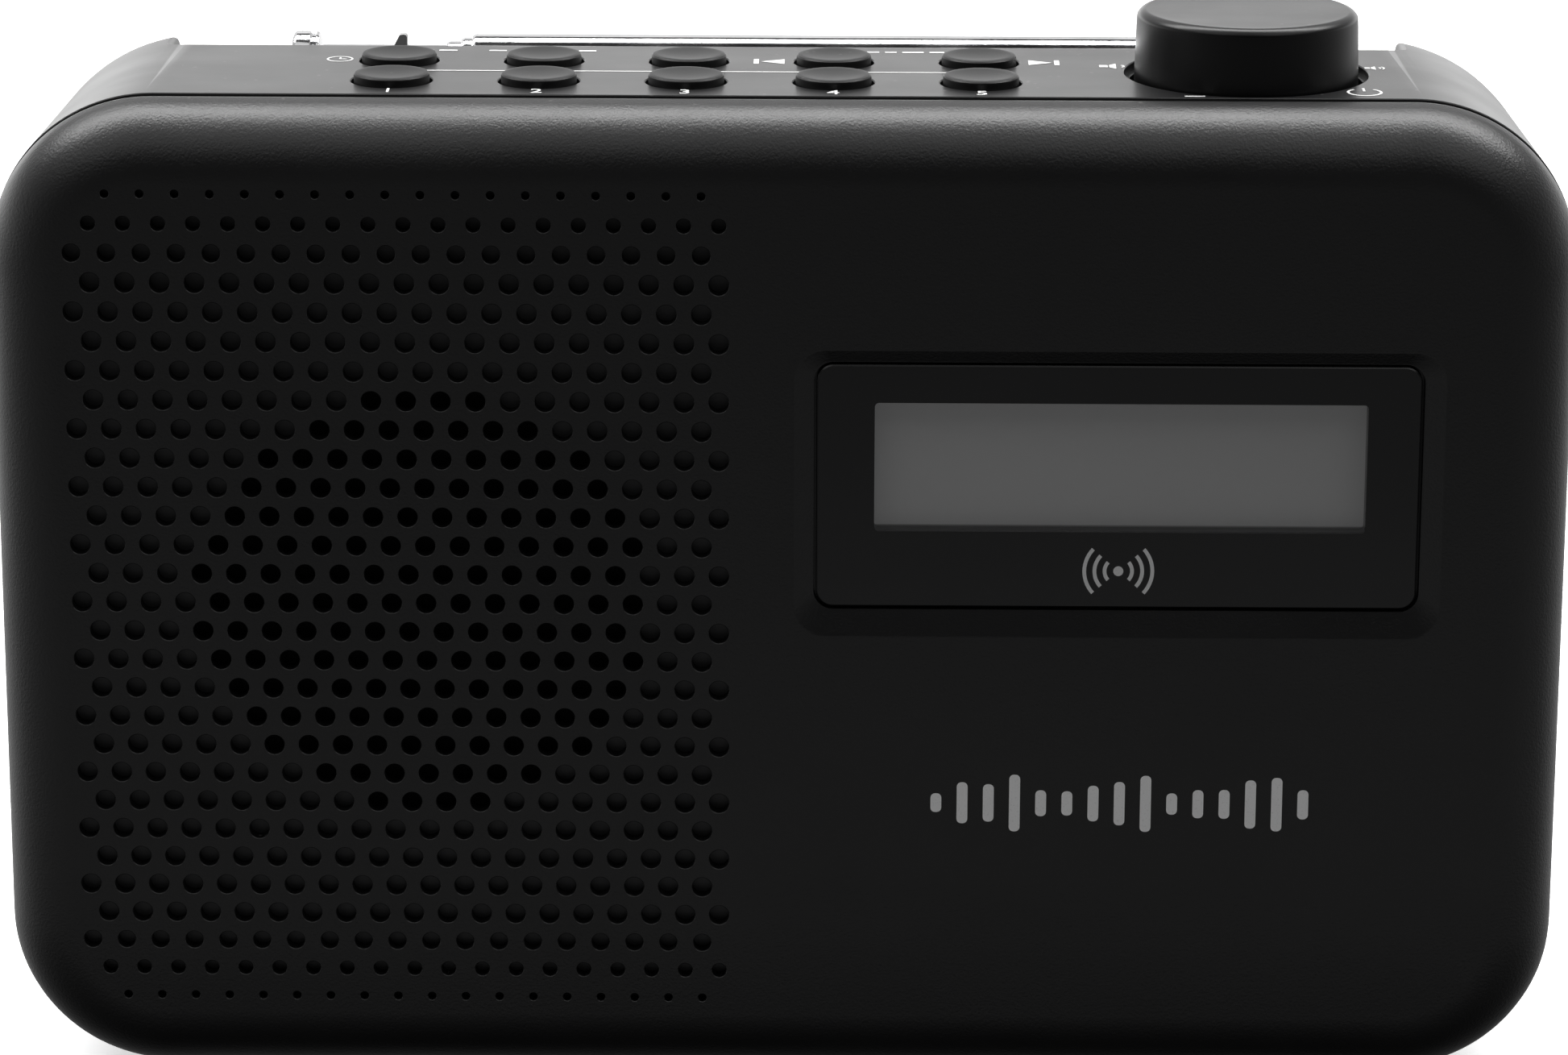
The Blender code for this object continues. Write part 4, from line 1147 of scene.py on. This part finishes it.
def build_front_printing():
    """A generic level meter on the front and a broadcast mark on the window."""
    low, high = FRONT_Y + 0.00002, FRONT_Y - 0.00003
    bm = bmesh.new()
    count = 15
    first, last, foot, tallest = 0.0186, 0.0624, 0.0335, 0.0073
    pitch = (last - first) / (count - 1)
    width = 0.0013
    shapes = []
    for number in range(count):
        x = first + pitch * number
        wave = abs(math.sin(number * 0.62)) * 0.55 + abs(math.sin(number * 1.31 + 0.8)) * 0.45
        tall = max(0.0012, tallest * wave)
        middle = foot + tallest / 2
        sides = (x - width / 2, x + width / 2, middle - tall / 2, middle + tall / 2)
        shapes.append(rounded_outline(*sides, 0.00055, 4))
    add_prints(bm, shapes, low, high, at_y)
    # The level meter's ink is lifted above the print's own grey, as painted light.
    dress(mesh_object("front_printing", bm), "grey_ink", "case", weighted=False)

    bm = bmesh.new()
    u, v = 0.0399, 0.0658
    shapes = [disc(u, v, 0.0006)]
    for radius in (0.0014, 0.0026, 0.0038):
        for start in (-42, 138):
            shapes.append(arc_band(u, v, radius, radius + 0.00045, start, start + 84, 14))
    shift = WINDOW_LOW.y - FRONT_Y
    add_prints(bm, shapes, low + shift, high + shift, at_y)
    dress(mesh_object("window_printing", bm), "dim_ink", "case", weighted=False)


# ---------------------------------------------------------------- aerial


def build_aerial():
    facets = bpy.context.scene.radio_aerial.facets
    roll = bpy.context.scene.radio_aerial.roll
    boxes = [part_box(f"antenna_section_{n}") for n in range(1, 5)]
    radii = [(high.z - low.z) / 2 for low, high in boxes]
    for number, (low, high) in enumerate(boxes, 1):
        radius = radii[number - 1]
        if number < 4:
            mouth = radii[number] + 0.00005
            inner = radius - 0.0003
            profile = [
                (radius, high.x), (radius, low.x + roll), (radius - 0.00006, low.x + roll * 0.5),
                (radius - 0.00016, low.x + roll * 0.15), (mouth + 0.00008, low.x),
                (mouth, low.x + 0.0001), (mouth, low.x + 0.0006), (inner, low.x + 0.0012),
                (inner, high.x),
            ]
        else:
            profile = plug(radius, high.x, low.x)
        tube = turned(f"aerial_tube_{number}", profile, (0, AERIAL.y, AERIAL.z), "X", facets)
        body, node = f"antenna_tube_{number}", f"antenna_section_{number}"
        dress(tube, "chrome", body, [node])
    low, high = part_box("antenna_tip")
    radius = (high.z - low.z) / 2
    profile = [(0, low.x)]
    for step in range(1, 8):
        angle = math.pi / 2 * step / 7
        profile.append((radius * math.sin(angle), low.x + 0.0012 * (1 - math.cos(angle))))
    profile += [
        (radius, high.x - 0.0012), (radius - 0.0003, high.x - 0.0009),
        (radius - 0.0003, high.x - 0.0007), (radius, high.x - 0.0004),
        (radius - 0.00015, high.x - 0.0001), (radius - 0.0005, high.x), (0, high.x),
    ]
    tip = turned("aerial_tip", profile, (0, AERIAL.y, AERIAL.z), "X", facets)
    dress(tip, "chrome", "antenna_tube_4", ["antenna_tip"])


def build_aerial_clip():
    """Cradle under the thin end of the aerial, with a slanted fin in front that keeps it in."""
    low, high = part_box("antenna_clip")
    rod_r = 0.00165
    seat = AERIAL.z - rod_r - 0.0003
    clip = new_solid(
        "clip_base",
        block,
        (low.x, low.y, low.z), (high.x, high.y, seat + 0.0009),
        radius=0.0004,
        edge=0.00015,
    )
    profile = plug(rod_r + 0.0003, low.x - 0.001, high.x + 0.001)
    groove = turned("groove", profile, (0, AERIAL.y, AERIAL.z), "X")
    left, right, top = high.x - 0.0029, high.x - 0.0004, high.z
    fin = [(left, seat - 0.001), (right, seat - 0.001), (right, top - 0.00035)]
    fin += [(right - 0.00012, top - 0.0001)]
    fin += [(right - 0.0004, top), (right - 0.0009, top - 0.0001), (right - 0.0015, top - 0.0012)]
    fin += [(left + 0.0002, top - 0.0032)]
    rings = [at_y(fin, y) for y in (low.y + 0.0001, AERIAL.y - rod_r - 0.0005)]
    carve(clip, ("DIFFERENCE", groove), ("UNION", new_solid("fin", skin, rings)))
    clip.name = "aerial_clip"
    dress(clip, "clip", "case", ["antenna_clip"])


# ---------------------------------------------------------------- back


def build_battery_door():
    low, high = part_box("battery_door")
    sides = door_sides(0.0)
    thick = high.y - low.y
    axis_z = low.z + thick / 2
    middle_y = (low.y + high.y) / 2
    door = new_solid(
        "door_panel",
        block,
        (sides[0], low.y, axis_z), (sides[2], high.y, high.z),
        radius=0.0009,
        edge=0.00025,
        along="Y",
    )
    pins = turned("pins", plug(0.0006, 0, high.x - low.x), (low.x, middle_y, axis_z), "X", 20)
    half = thick / 2
    soft = 0.0001
    profile = [(0, sides[0]), (half - soft, sides[0]), (half, sides[0] + soft)]
    profile += [(half, sides[2] - soft), (half - soft, sides[2]), (0, sides[2])]
    barrel = turned("barrel", profile, (0, middle_y, axis_z), "X", 32)
    ridges = bmesh.new()
    middle = (sides[0] + sides[2]) / 2
    for number in range(6):
        z = high.z - 0.0055 - 0.0016 * number
        near = (middle - 0.007, high.y - 0.0005, z - 0.00045)
        far = (middle + 0.007, high.y + 0.001, z + 0.00045)
        block(ridges, near, far, radius=0.0004, along="Y")
    grip = mesh_object("grip", ridges)
    carve(door, ("UNION", barrel), ("UNION", pins), ("DIFFERENCE", grip))
    door.name = "door_cover"
    dress(door, "casing", "battery_door", ["battery_door"])


def build_springs():
    """A coil spring on every other contact of each row, as for cells in series."""
    cell = (CELL_X[1] - CELL_X[0]) / 4
    middle_y = CELL_BACK + 0.0074
    for node, side, offset in (("battery_contact_lower", 1, 0), ("battery_contact_upper", -1, 1)):
        low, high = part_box(node)
        seat = low.z + 0.0005 if side > 0 else high.z - 0.0005
        for number in range(offset, 4, 2):
            x = CELL_X[0] + cell * (number + 0.5)
            curve = bpy.data.curves.new("spring", "CURVE")
            curve.dimensions = "3D"
            curve.bevel_depth = 0.00028
            curve.bevel_resolution = 3
            curve.use_fill_caps = True
            spline = curve.splines.new("POLY")
            steps = 96
            spline.points.add(steps)
            for step, point in enumerate(spline.points):
                share = step / steps
                angle = 2 * math.pi * 4 * share
                radius = 0.0032 - 0.0014 * share
                point.co = (
                    x + radius * math.cos(angle),
                    middle_y + radius * math.sin(angle),
                    seat + side * (0.0003 + 0.0026 * share),
                    1.0,
                )
            mesh = mesh_of_curve(curve)
            spring = bpy.data.objects.new(f"{node}_spring_{number + 1}", mesh)
            bpy.context.scene.collection.objects.link(spring)
            dress(spring, "steel", "case", weighted=False)


def build_feet():
    for number in range(1, 5):
        node = f"foot_{number}"
        low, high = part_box(node)
        centre = (low + high) / 2
        radius = (high.x - low.x) / 2
        profile = [
            (0, high.z), (radius - 0.0001, high.z), (radius, high.z - 0.0001),
            (radius, low.z + 0.0005), (radius - 0.00012, low.z + 0.0002),
            (radius - 0.0004, low.z), (radius - 0.0014, low.z), (radius - 0.0017, low.z + 0.0002),
            (0, low.z + 0.0002),
        ]
        pad = turned(f"pad_{node}", profile, (centre.x, centre.y, 0))
        dress(pad, "rubber", "case", [node])


# (half length, half width, depth) of a screw's cross recess, from above the head down
CROSS_STEPS = ((0.0019, 0.00042, 0.001), (0.0016, 0.00036, -0.0002), (0.0007, 0.0002, -0.0013))


def build_screws():
    for number in range(1, 5):
        node = f"case_screw_{number}"
        low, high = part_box(node)
        centre = (low + high) / 2
        head = (high.x - low.x) / 2
        top = high.y
        profile = [(0, top)]
        for step in range(1, 7):
            angle = math.radians(12 + 78 * step / 6)
            profile.append((head * math.sin(angle), top - 0.0009 * (1 - math.cos(angle)) * 1.3))
        profile += [
            (head, top - 0.0020), (0.0013, top - 0.0020), (0.0013, low.y + 0.001), (0, low.y),
        ]
        screw = turned(f"screw_{number}", profile, (centre.x, 0, centre.z), "Y", 36)
        cross = bmesh.new()
        for quarter in (0, 90):
            matrix = Matrix.Translation((centre.x, top, centre.z)) @ Matrix.Rotation(
                math.radians(quarter + 20 * number), 4, "Y"
            )
            rings = []
            for reach, wide, y in CROSS_STEPS:
                rings.append([matrix @ p for p in at_y(bar(-reach, reach, -wide, wide), y)])
            skin(cross, rings)
        cut(screw, mesh_object("cross", cross))
        dress(screw, "steel", "case", [node])


def build_sockets():
    for node, bore_r, pin in (("headphone_socket", 0.0018, False), ("power_socket", 0.0031, True)):
        low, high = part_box(node)
        x = (low.x + high.x) / 2
        half = (high.x - low.x) / 2
        mouth = high.y
        body_front = mouth - 0.0023
        body = new_solid(
            f"{node}_body",
            block,
            (x - half, low.y, SOCKET_Z - half), (x + half, body_front, SOCKET_Z + half),
            radius=0.0004,
            edge=0.0001,
            along="Y",
        )
        nose_r = 0.0036 if pin else 0.0034
        profile = [(0, body_front - 0.001), (nose_r, body_front - 0.001)]
        profile += [(nose_r, mouth - 0.0002), (nose_r - 0.0002, mouth), (0, mouth)]
        nose = turned("nose", profile, (x, 0, SOCKET_Z), "Y")
        depth = mouth - low.y - 0.0012
        place = (x, mouth, SOCKET_Z)
        hollow = new_solid("hollow", bore, place, bore_r, depth, "Y", -1, 0.0002, segments=40)
        carve(body, ("UNION", nose), ("DIFFERENCE", hollow))
        dress(body, "socket", "case", [node])
        if pin:
            name, foot, neck = "power_pin", low.y + 0.0010, mouth - 0.0008
            profile = [(0, foot), (0.0009, foot), (0.0009, neck - 0.0004)]
            profile += [(0.0006, neck), (0, neck)]
        else:
            name, deep, near, thin = "headphone_contact", mouth - 0.0060, mouth - 0.0004, 0.00025
            inner_r = bore_r - thin
            profile = [(bore_r, near), (bore_r, deep), (inner_r, deep), (inner_r, near)]
        dress(turned(name, profile, (x, 0, SOCKET_Z), "Y", 32), "steel", "case")


NODE_FINISHES = {
    "casing": ("lcd_frame",),
    "display": ("lcd_panel",),
    "light_guide": ("backlight",),
    "board": ("main_board", "key_board", "encoder_board", "socket_board"),
    "rubber": ("button_mat", "speaker_surround"),
    "steel": (
        "tuner_module", "encoder_body", "encoder_shaft", "speaker_frame", "antenna_bracket",
        "antenna_screw", "antenna_pin", "battery_contact_lower", "battery_contact_upper",
    ),
    "chrome": ("antenna_swivel", "antenna_knuckle"),
    "paper": ("speaker_cone",),
    "cloth": ("speaker_cloth",),
    "ferrite": ("speaker_magnet",),
    "socket": ("encoder_plunger",),
    "wire": ("speaker_wire", "antenna_wire"),
}


def finish_frame_nodes():
    """Gives each node that stays visible its finish."""
    for finish, names in NODE_FINISHES.items():
        for name in names:
            node = frame["nodes"][name]
            if not node.material_slots:
                node.data.materials.append(None)
            for slot in node.material_slots:
                slot.material = finish_of(finish)


# ---------------------------------------------------------------- stage


def area_light(name, angle, height, width, distance, radiance, azimuth=0.0):
    """A soft panel that faces the radio. Its angle runs from the rear horizon over the top."""
    light = bpy.data.lights.new(name, "AREA")
    light.shape = "RECTANGLE"
    light.size = width
    light.size_y = height
    light.energy = radiance * math.pi * width * height
    obj = bpy.data.objects.new(name, light)
    bpy.context.scene.collection.objects.link(obj)
    a = math.radians(angle)
    offset = Vector((0, math.cos(a), math.sin(a))) * distance
    offset = Matrix.Rotation(math.radians(azimuth), 3, "Z") @ offset
    target = Vector((0, -0.01, 0.10))
    obj.location = target + offset
    obj.rotation_euler = (-offset).to_track_quat("-Z", "Y").to_euler()
    obj.visible_camera = False
    return obj


def build_floor_finish(strength):
    """Matt white paper with a faint fibre, lit from within so that it stays pale."""
    material, tree, shader = new_finish("studio_paper", (0.80, 0.80, 0.80), 0.85)
    fibre = noise(tree, place_on_object(tree, 0.004), 4.0)
    tree.links.new(
        blend_colour(tree, fibre, (0.79, 0.79, 0.79), (0.82, 0.82, 0.82)),
        shader.inputs["Base Color"],
    )
    shader.inputs["Emission Color"].default_value = (1.0, 1.0, 1.0, 1.0)
    shader.inputs["Emission Strength"].default_value = strength
    return material


def grey_ramp(tree, value, stops):
    """A brightness that runs straight between (place, brightness) stops."""
    ramp = add_node(tree, "ShaderNodeValToRGB", {"Fac": value})
    elements = ramp.color_ramp.elements
    elements[0].position, elements[1].position = stops[0][0], stops[-1][0]
    for place, _ in stops[1:-1]:
        elements.new(place)
    for element, (_, brightness) in zip(elements, stops):
        element.color = (brightness, brightness, brightness, 1.0)
    return ramp.outputs["Color"]


def build_surroundings(strength):
    """The pale room: bright paper behind, and darker in front, to the sides and overhead."""
    world = bpy.data.worlds.new("studio")
    world.use_nodes = True
    tree = world.node_tree
    way = add_node(tree, "ShaderNodeTexCoord").outputs["Generated"]
    x, y, z = add_node(tree, "ShaderNodeSeparateXYZ", {0: way}).outputs
    flat = maths(tree, "SQRT", maths(tree, "SUBTRACT", 1.0001, maths(tree, "MULTIPLY", z, z)))
    behind = span(tree, maths(tree, "DIVIDE", y, flat), -1.0, 1.0)
    side = maths(tree, "DIVIDE", x, flat)
    stops = [(0.0, 0.02), (0.2, 0.05), (0.45, 0.16), (0.6, 0.25), (0.8, 0.46), (1.0, 0.64)]
    around = grey_ramp(tree, behind, stops)
    rise = span(tree, z, -1.0, 1.0)
    height = grey_ramp(
        tree,
        rise,
        [
            (0.0, 0.02), (0.20, 0.08), (0.40, 0.40), (0.47, 0.50), (0.50, 0.95), (0.58, 0.95),
            (0.60, 0.30), (0.75, 0.30), (0.83, 0.45), (0.86, 0.0), (1.0, 0.0),
        ],
    )
    lean = span(tree, side, -1.0, 1.0, 1.22, 0.72)
    low_front = grey_ramp(
        tree, rise, [(0.0, 0.0), (0.22, 0.014), (0.34, 0.033), (0.46, 0.033), (0.49, 0.0)]
    )
    floor_glow = maths(tree, "MULTIPLY", low_front, maths(tree, "SUBTRACT", 1.0, behind))
    room = maths(tree, "MULTIPLY", maths(tree, "MULTIPLY", around, height), lean)
    total = maths(tree, "ADD", room, floor_glow)
    background = tree.nodes["Background"]
    background.inputs["Color"].default_value = (1.0, 1.0, 1.0, 1.0)
    tree.links.new(maths(tree, "MULTIPLY", total, 4.0 * strength), background.inputs["Strength"])
    bpy.context.scene.world = world


def build_stage():
    scene = bpy.context.scene
    stage = scene.radio_stage
    half = stage.floor_size / 2
    bm = bmesh.new()
    profile = [(-half, 0.0), (half, 0.0)]
    for step in range(1, 13):
        angle = math.pi / 2 * step / 12
        profile.append((half + 0.8 * math.sin(angle), 0.8 * (1 - math.cos(angle))))
    profile.append((half + 0.8, half))
    rows = [[bm.verts.new((x, y, z)) for x in (-half, half)] for y, z in profile]
    for near, far in zip(rows, rows[1:]):
        bm.faces.new((near[0], near[1], far[1], far[0]))
    floor = mesh_object("floor", bm)
    floor.data.materials.append(build_floor_finish(0.62))
    floor.data.shade_smooth()
    for ray in ("diffuse", "glossy", "transmission", "shadow"):
        setattr(floor, f"visible_{ray}", False)

    area_light("overhead_softbox", 72, 0.445, 2.6, 1.2, 11.8)
    area_light("front_fill", 130, 0.42, 2.6, 1.2, 0.30)
    area_light("left_fill", 125, 0.9, 0.9, 1.2, 0.75, 50)
    area_light("right_fill", 125, 0.9, 0.9, 1.2, 0.65, -50)
    bounce = area_light("floor_bounce", 0, 0.20, 0.60, 0.2, 0.12)
    bounce.location = (0, -0.16, 0.001)
    bounce.rotation_euler = (math.pi, 0, 0)
    build_surroundings(stage.surround)

    camera = bpy.data.cameras.new("camera")
    camera.lens = stage.lens
    camera.sensor_width = 36.0
    camera.clip_start = 0.01
    camera.clip_end = 50.0
    obj = bpy.data.objects.new("camera", camera)
    scene.collection.objects.link(obj)
    pitch, yaw, roll = (math.radians(angle) for angle in (15.973, 0.644, 0.147))
    obj.matrix_world = (
        Matrix.Translation((0.00766, -0.67626, 0.25679))
        @ Matrix.Rotation(yaw, 4, "Z")
        @ Matrix.Rotation(math.pi / 2 - pitch, 4, "X")
        @ Matrix.Rotation(roll, 4, "Z")
    )
    scene.camera = obj
    scene.view_settings.view_transform = "Standard"


# ---------------------------------------------------------------- operators


class BuildSteps:
    """What every operator shares: it runs its own steps in turn."""

    steps = ()

    def execute(self, context):
        for step in self.steps:
            step()
        return {"FINISHED"}


class RADIO_OT_front_cover(BuildSteps, Operator):
    """Front cover with its dots and window recess"""

    bl_idname = "radio.front_cover"
    bl_label = "Front Cover"
    steps = (build_front_cover,)


class RADIO_OT_rear_casing(BuildSteps, Operator):
    """Rear casing with its bays, holes and recesses"""

    bl_idname = "radio.rear_casing"
    bl_label = "Rear Casing"
    steps = (build_rear_casing,)


class RADIO_OT_window(BuildSteps, Operator):
    """Display window: black mask and clear pane"""

    bl_idname = "radio.window"
    bl_label = "Display Window"
    steps = (build_window,)


class RADIO_OT_controls(BuildSteps, Operator):
    """Ten push buttons and the knob"""

    bl_idname = "radio.controls"
    bl_label = "Buttons and Knob"
    steps = (build_buttons, build_knob)


class RADIO_OT_printing(BuildSteps, Operator):
    """Printed numerals, symbols and marks"""

    bl_idname = "radio.printing"
    bl_label = "Printing"
    steps = (build_top_printing, build_front_printing)


class RADIO_OT_aerial(BuildSteps, Operator):
    """Telescopic aerial"""

    bl_idname = "radio.aerial"
    bl_label = "Aerial"
    steps = (build_aerial, build_aerial_clip)


class RADIO_OT_back(BuildSteps, Operator):
    """Battery door, springs, screws, sockets and feet"""

    bl_idname = "radio.back"
    bl_label = "Back and Base"
    steps = (build_battery_door, build_springs, build_screws, build_sockets, build_feet)


class RADIO_OT_inner_parts(BuildSteps, Operator):
    """Finishes for the inner parts that come with the frame"""

    bl_idname = "radio.inner_parts"
    bl_label = "Inner Parts"
    steps = (finish_frame_nodes,)


class RADIO_OT_stage(BuildSteps, Operator):
    """Floor, lights and camera"""

    bl_idname = "radio.stage"
    bl_label = "Stage"
    steps = (build_stage,)


OPERATORS = (
    RADIO_OT_front_cover,
    RADIO_OT_rear_casing,
    RADIO_OT_window,
    RADIO_OT_controls,
    RADIO_OT_printing,
    RADIO_OT_aerial,
    RADIO_OT_back,
    RADIO_OT_inner_parts,
    RADIO_OT_stage,
)
SETTINGS = {
    "radio_case": CaseSettings,
    "radio_grille": GrilleSettings,
    "radio_controls": ControlSettings,
    "radio_aerial": AerialSettings,
    "radio_stage": StageSettings,
}


class RADIO_PT_sidebar(Panel):
    """Settings and builders for the radio"""

    bl_label = "Tabletop Radio"
    bl_idname = "RADIO_PT_sidebar"
    bl_space_type = "VIEW_3D"
    bl_region_type = "UI"
    bl_category = "Radio"

    def draw(self, context):
        layout = self.layout
        for attribute, settings in SETTINGS.items():
            group = getattr(context.scene, attribute)
            column = layout.column(align=True)
            for name in settings.__annotations__:
                column.prop(group, name)
        for operator in OPERATORS:
            layout.operator(operator.bl_idname)


CLASSES = (*SETTINGS.values(), *OPERATORS, RADIO_PT_sidebar)


def register():
    for cls in CLASSES:
        bpy.utils.register_class(cls)
    for attribute, settings in SETTINGS.items():
        setattr(bpy.types.Scene, attribute, PointerProperty(type=settings))


def unregister():
    for attribute in SETTINGS:
        delattr(bpy.types.Scene, attribute)
    for cls in reversed(CLASSES):
        bpy.utils.unregister_class(cls)


def main():
    register()
    for operator in OPERATORS:
        getattr(bpy.ops.radio, operator.bl_idname.removeprefix("radio."))()


if __name__ == "__main__":
    main()
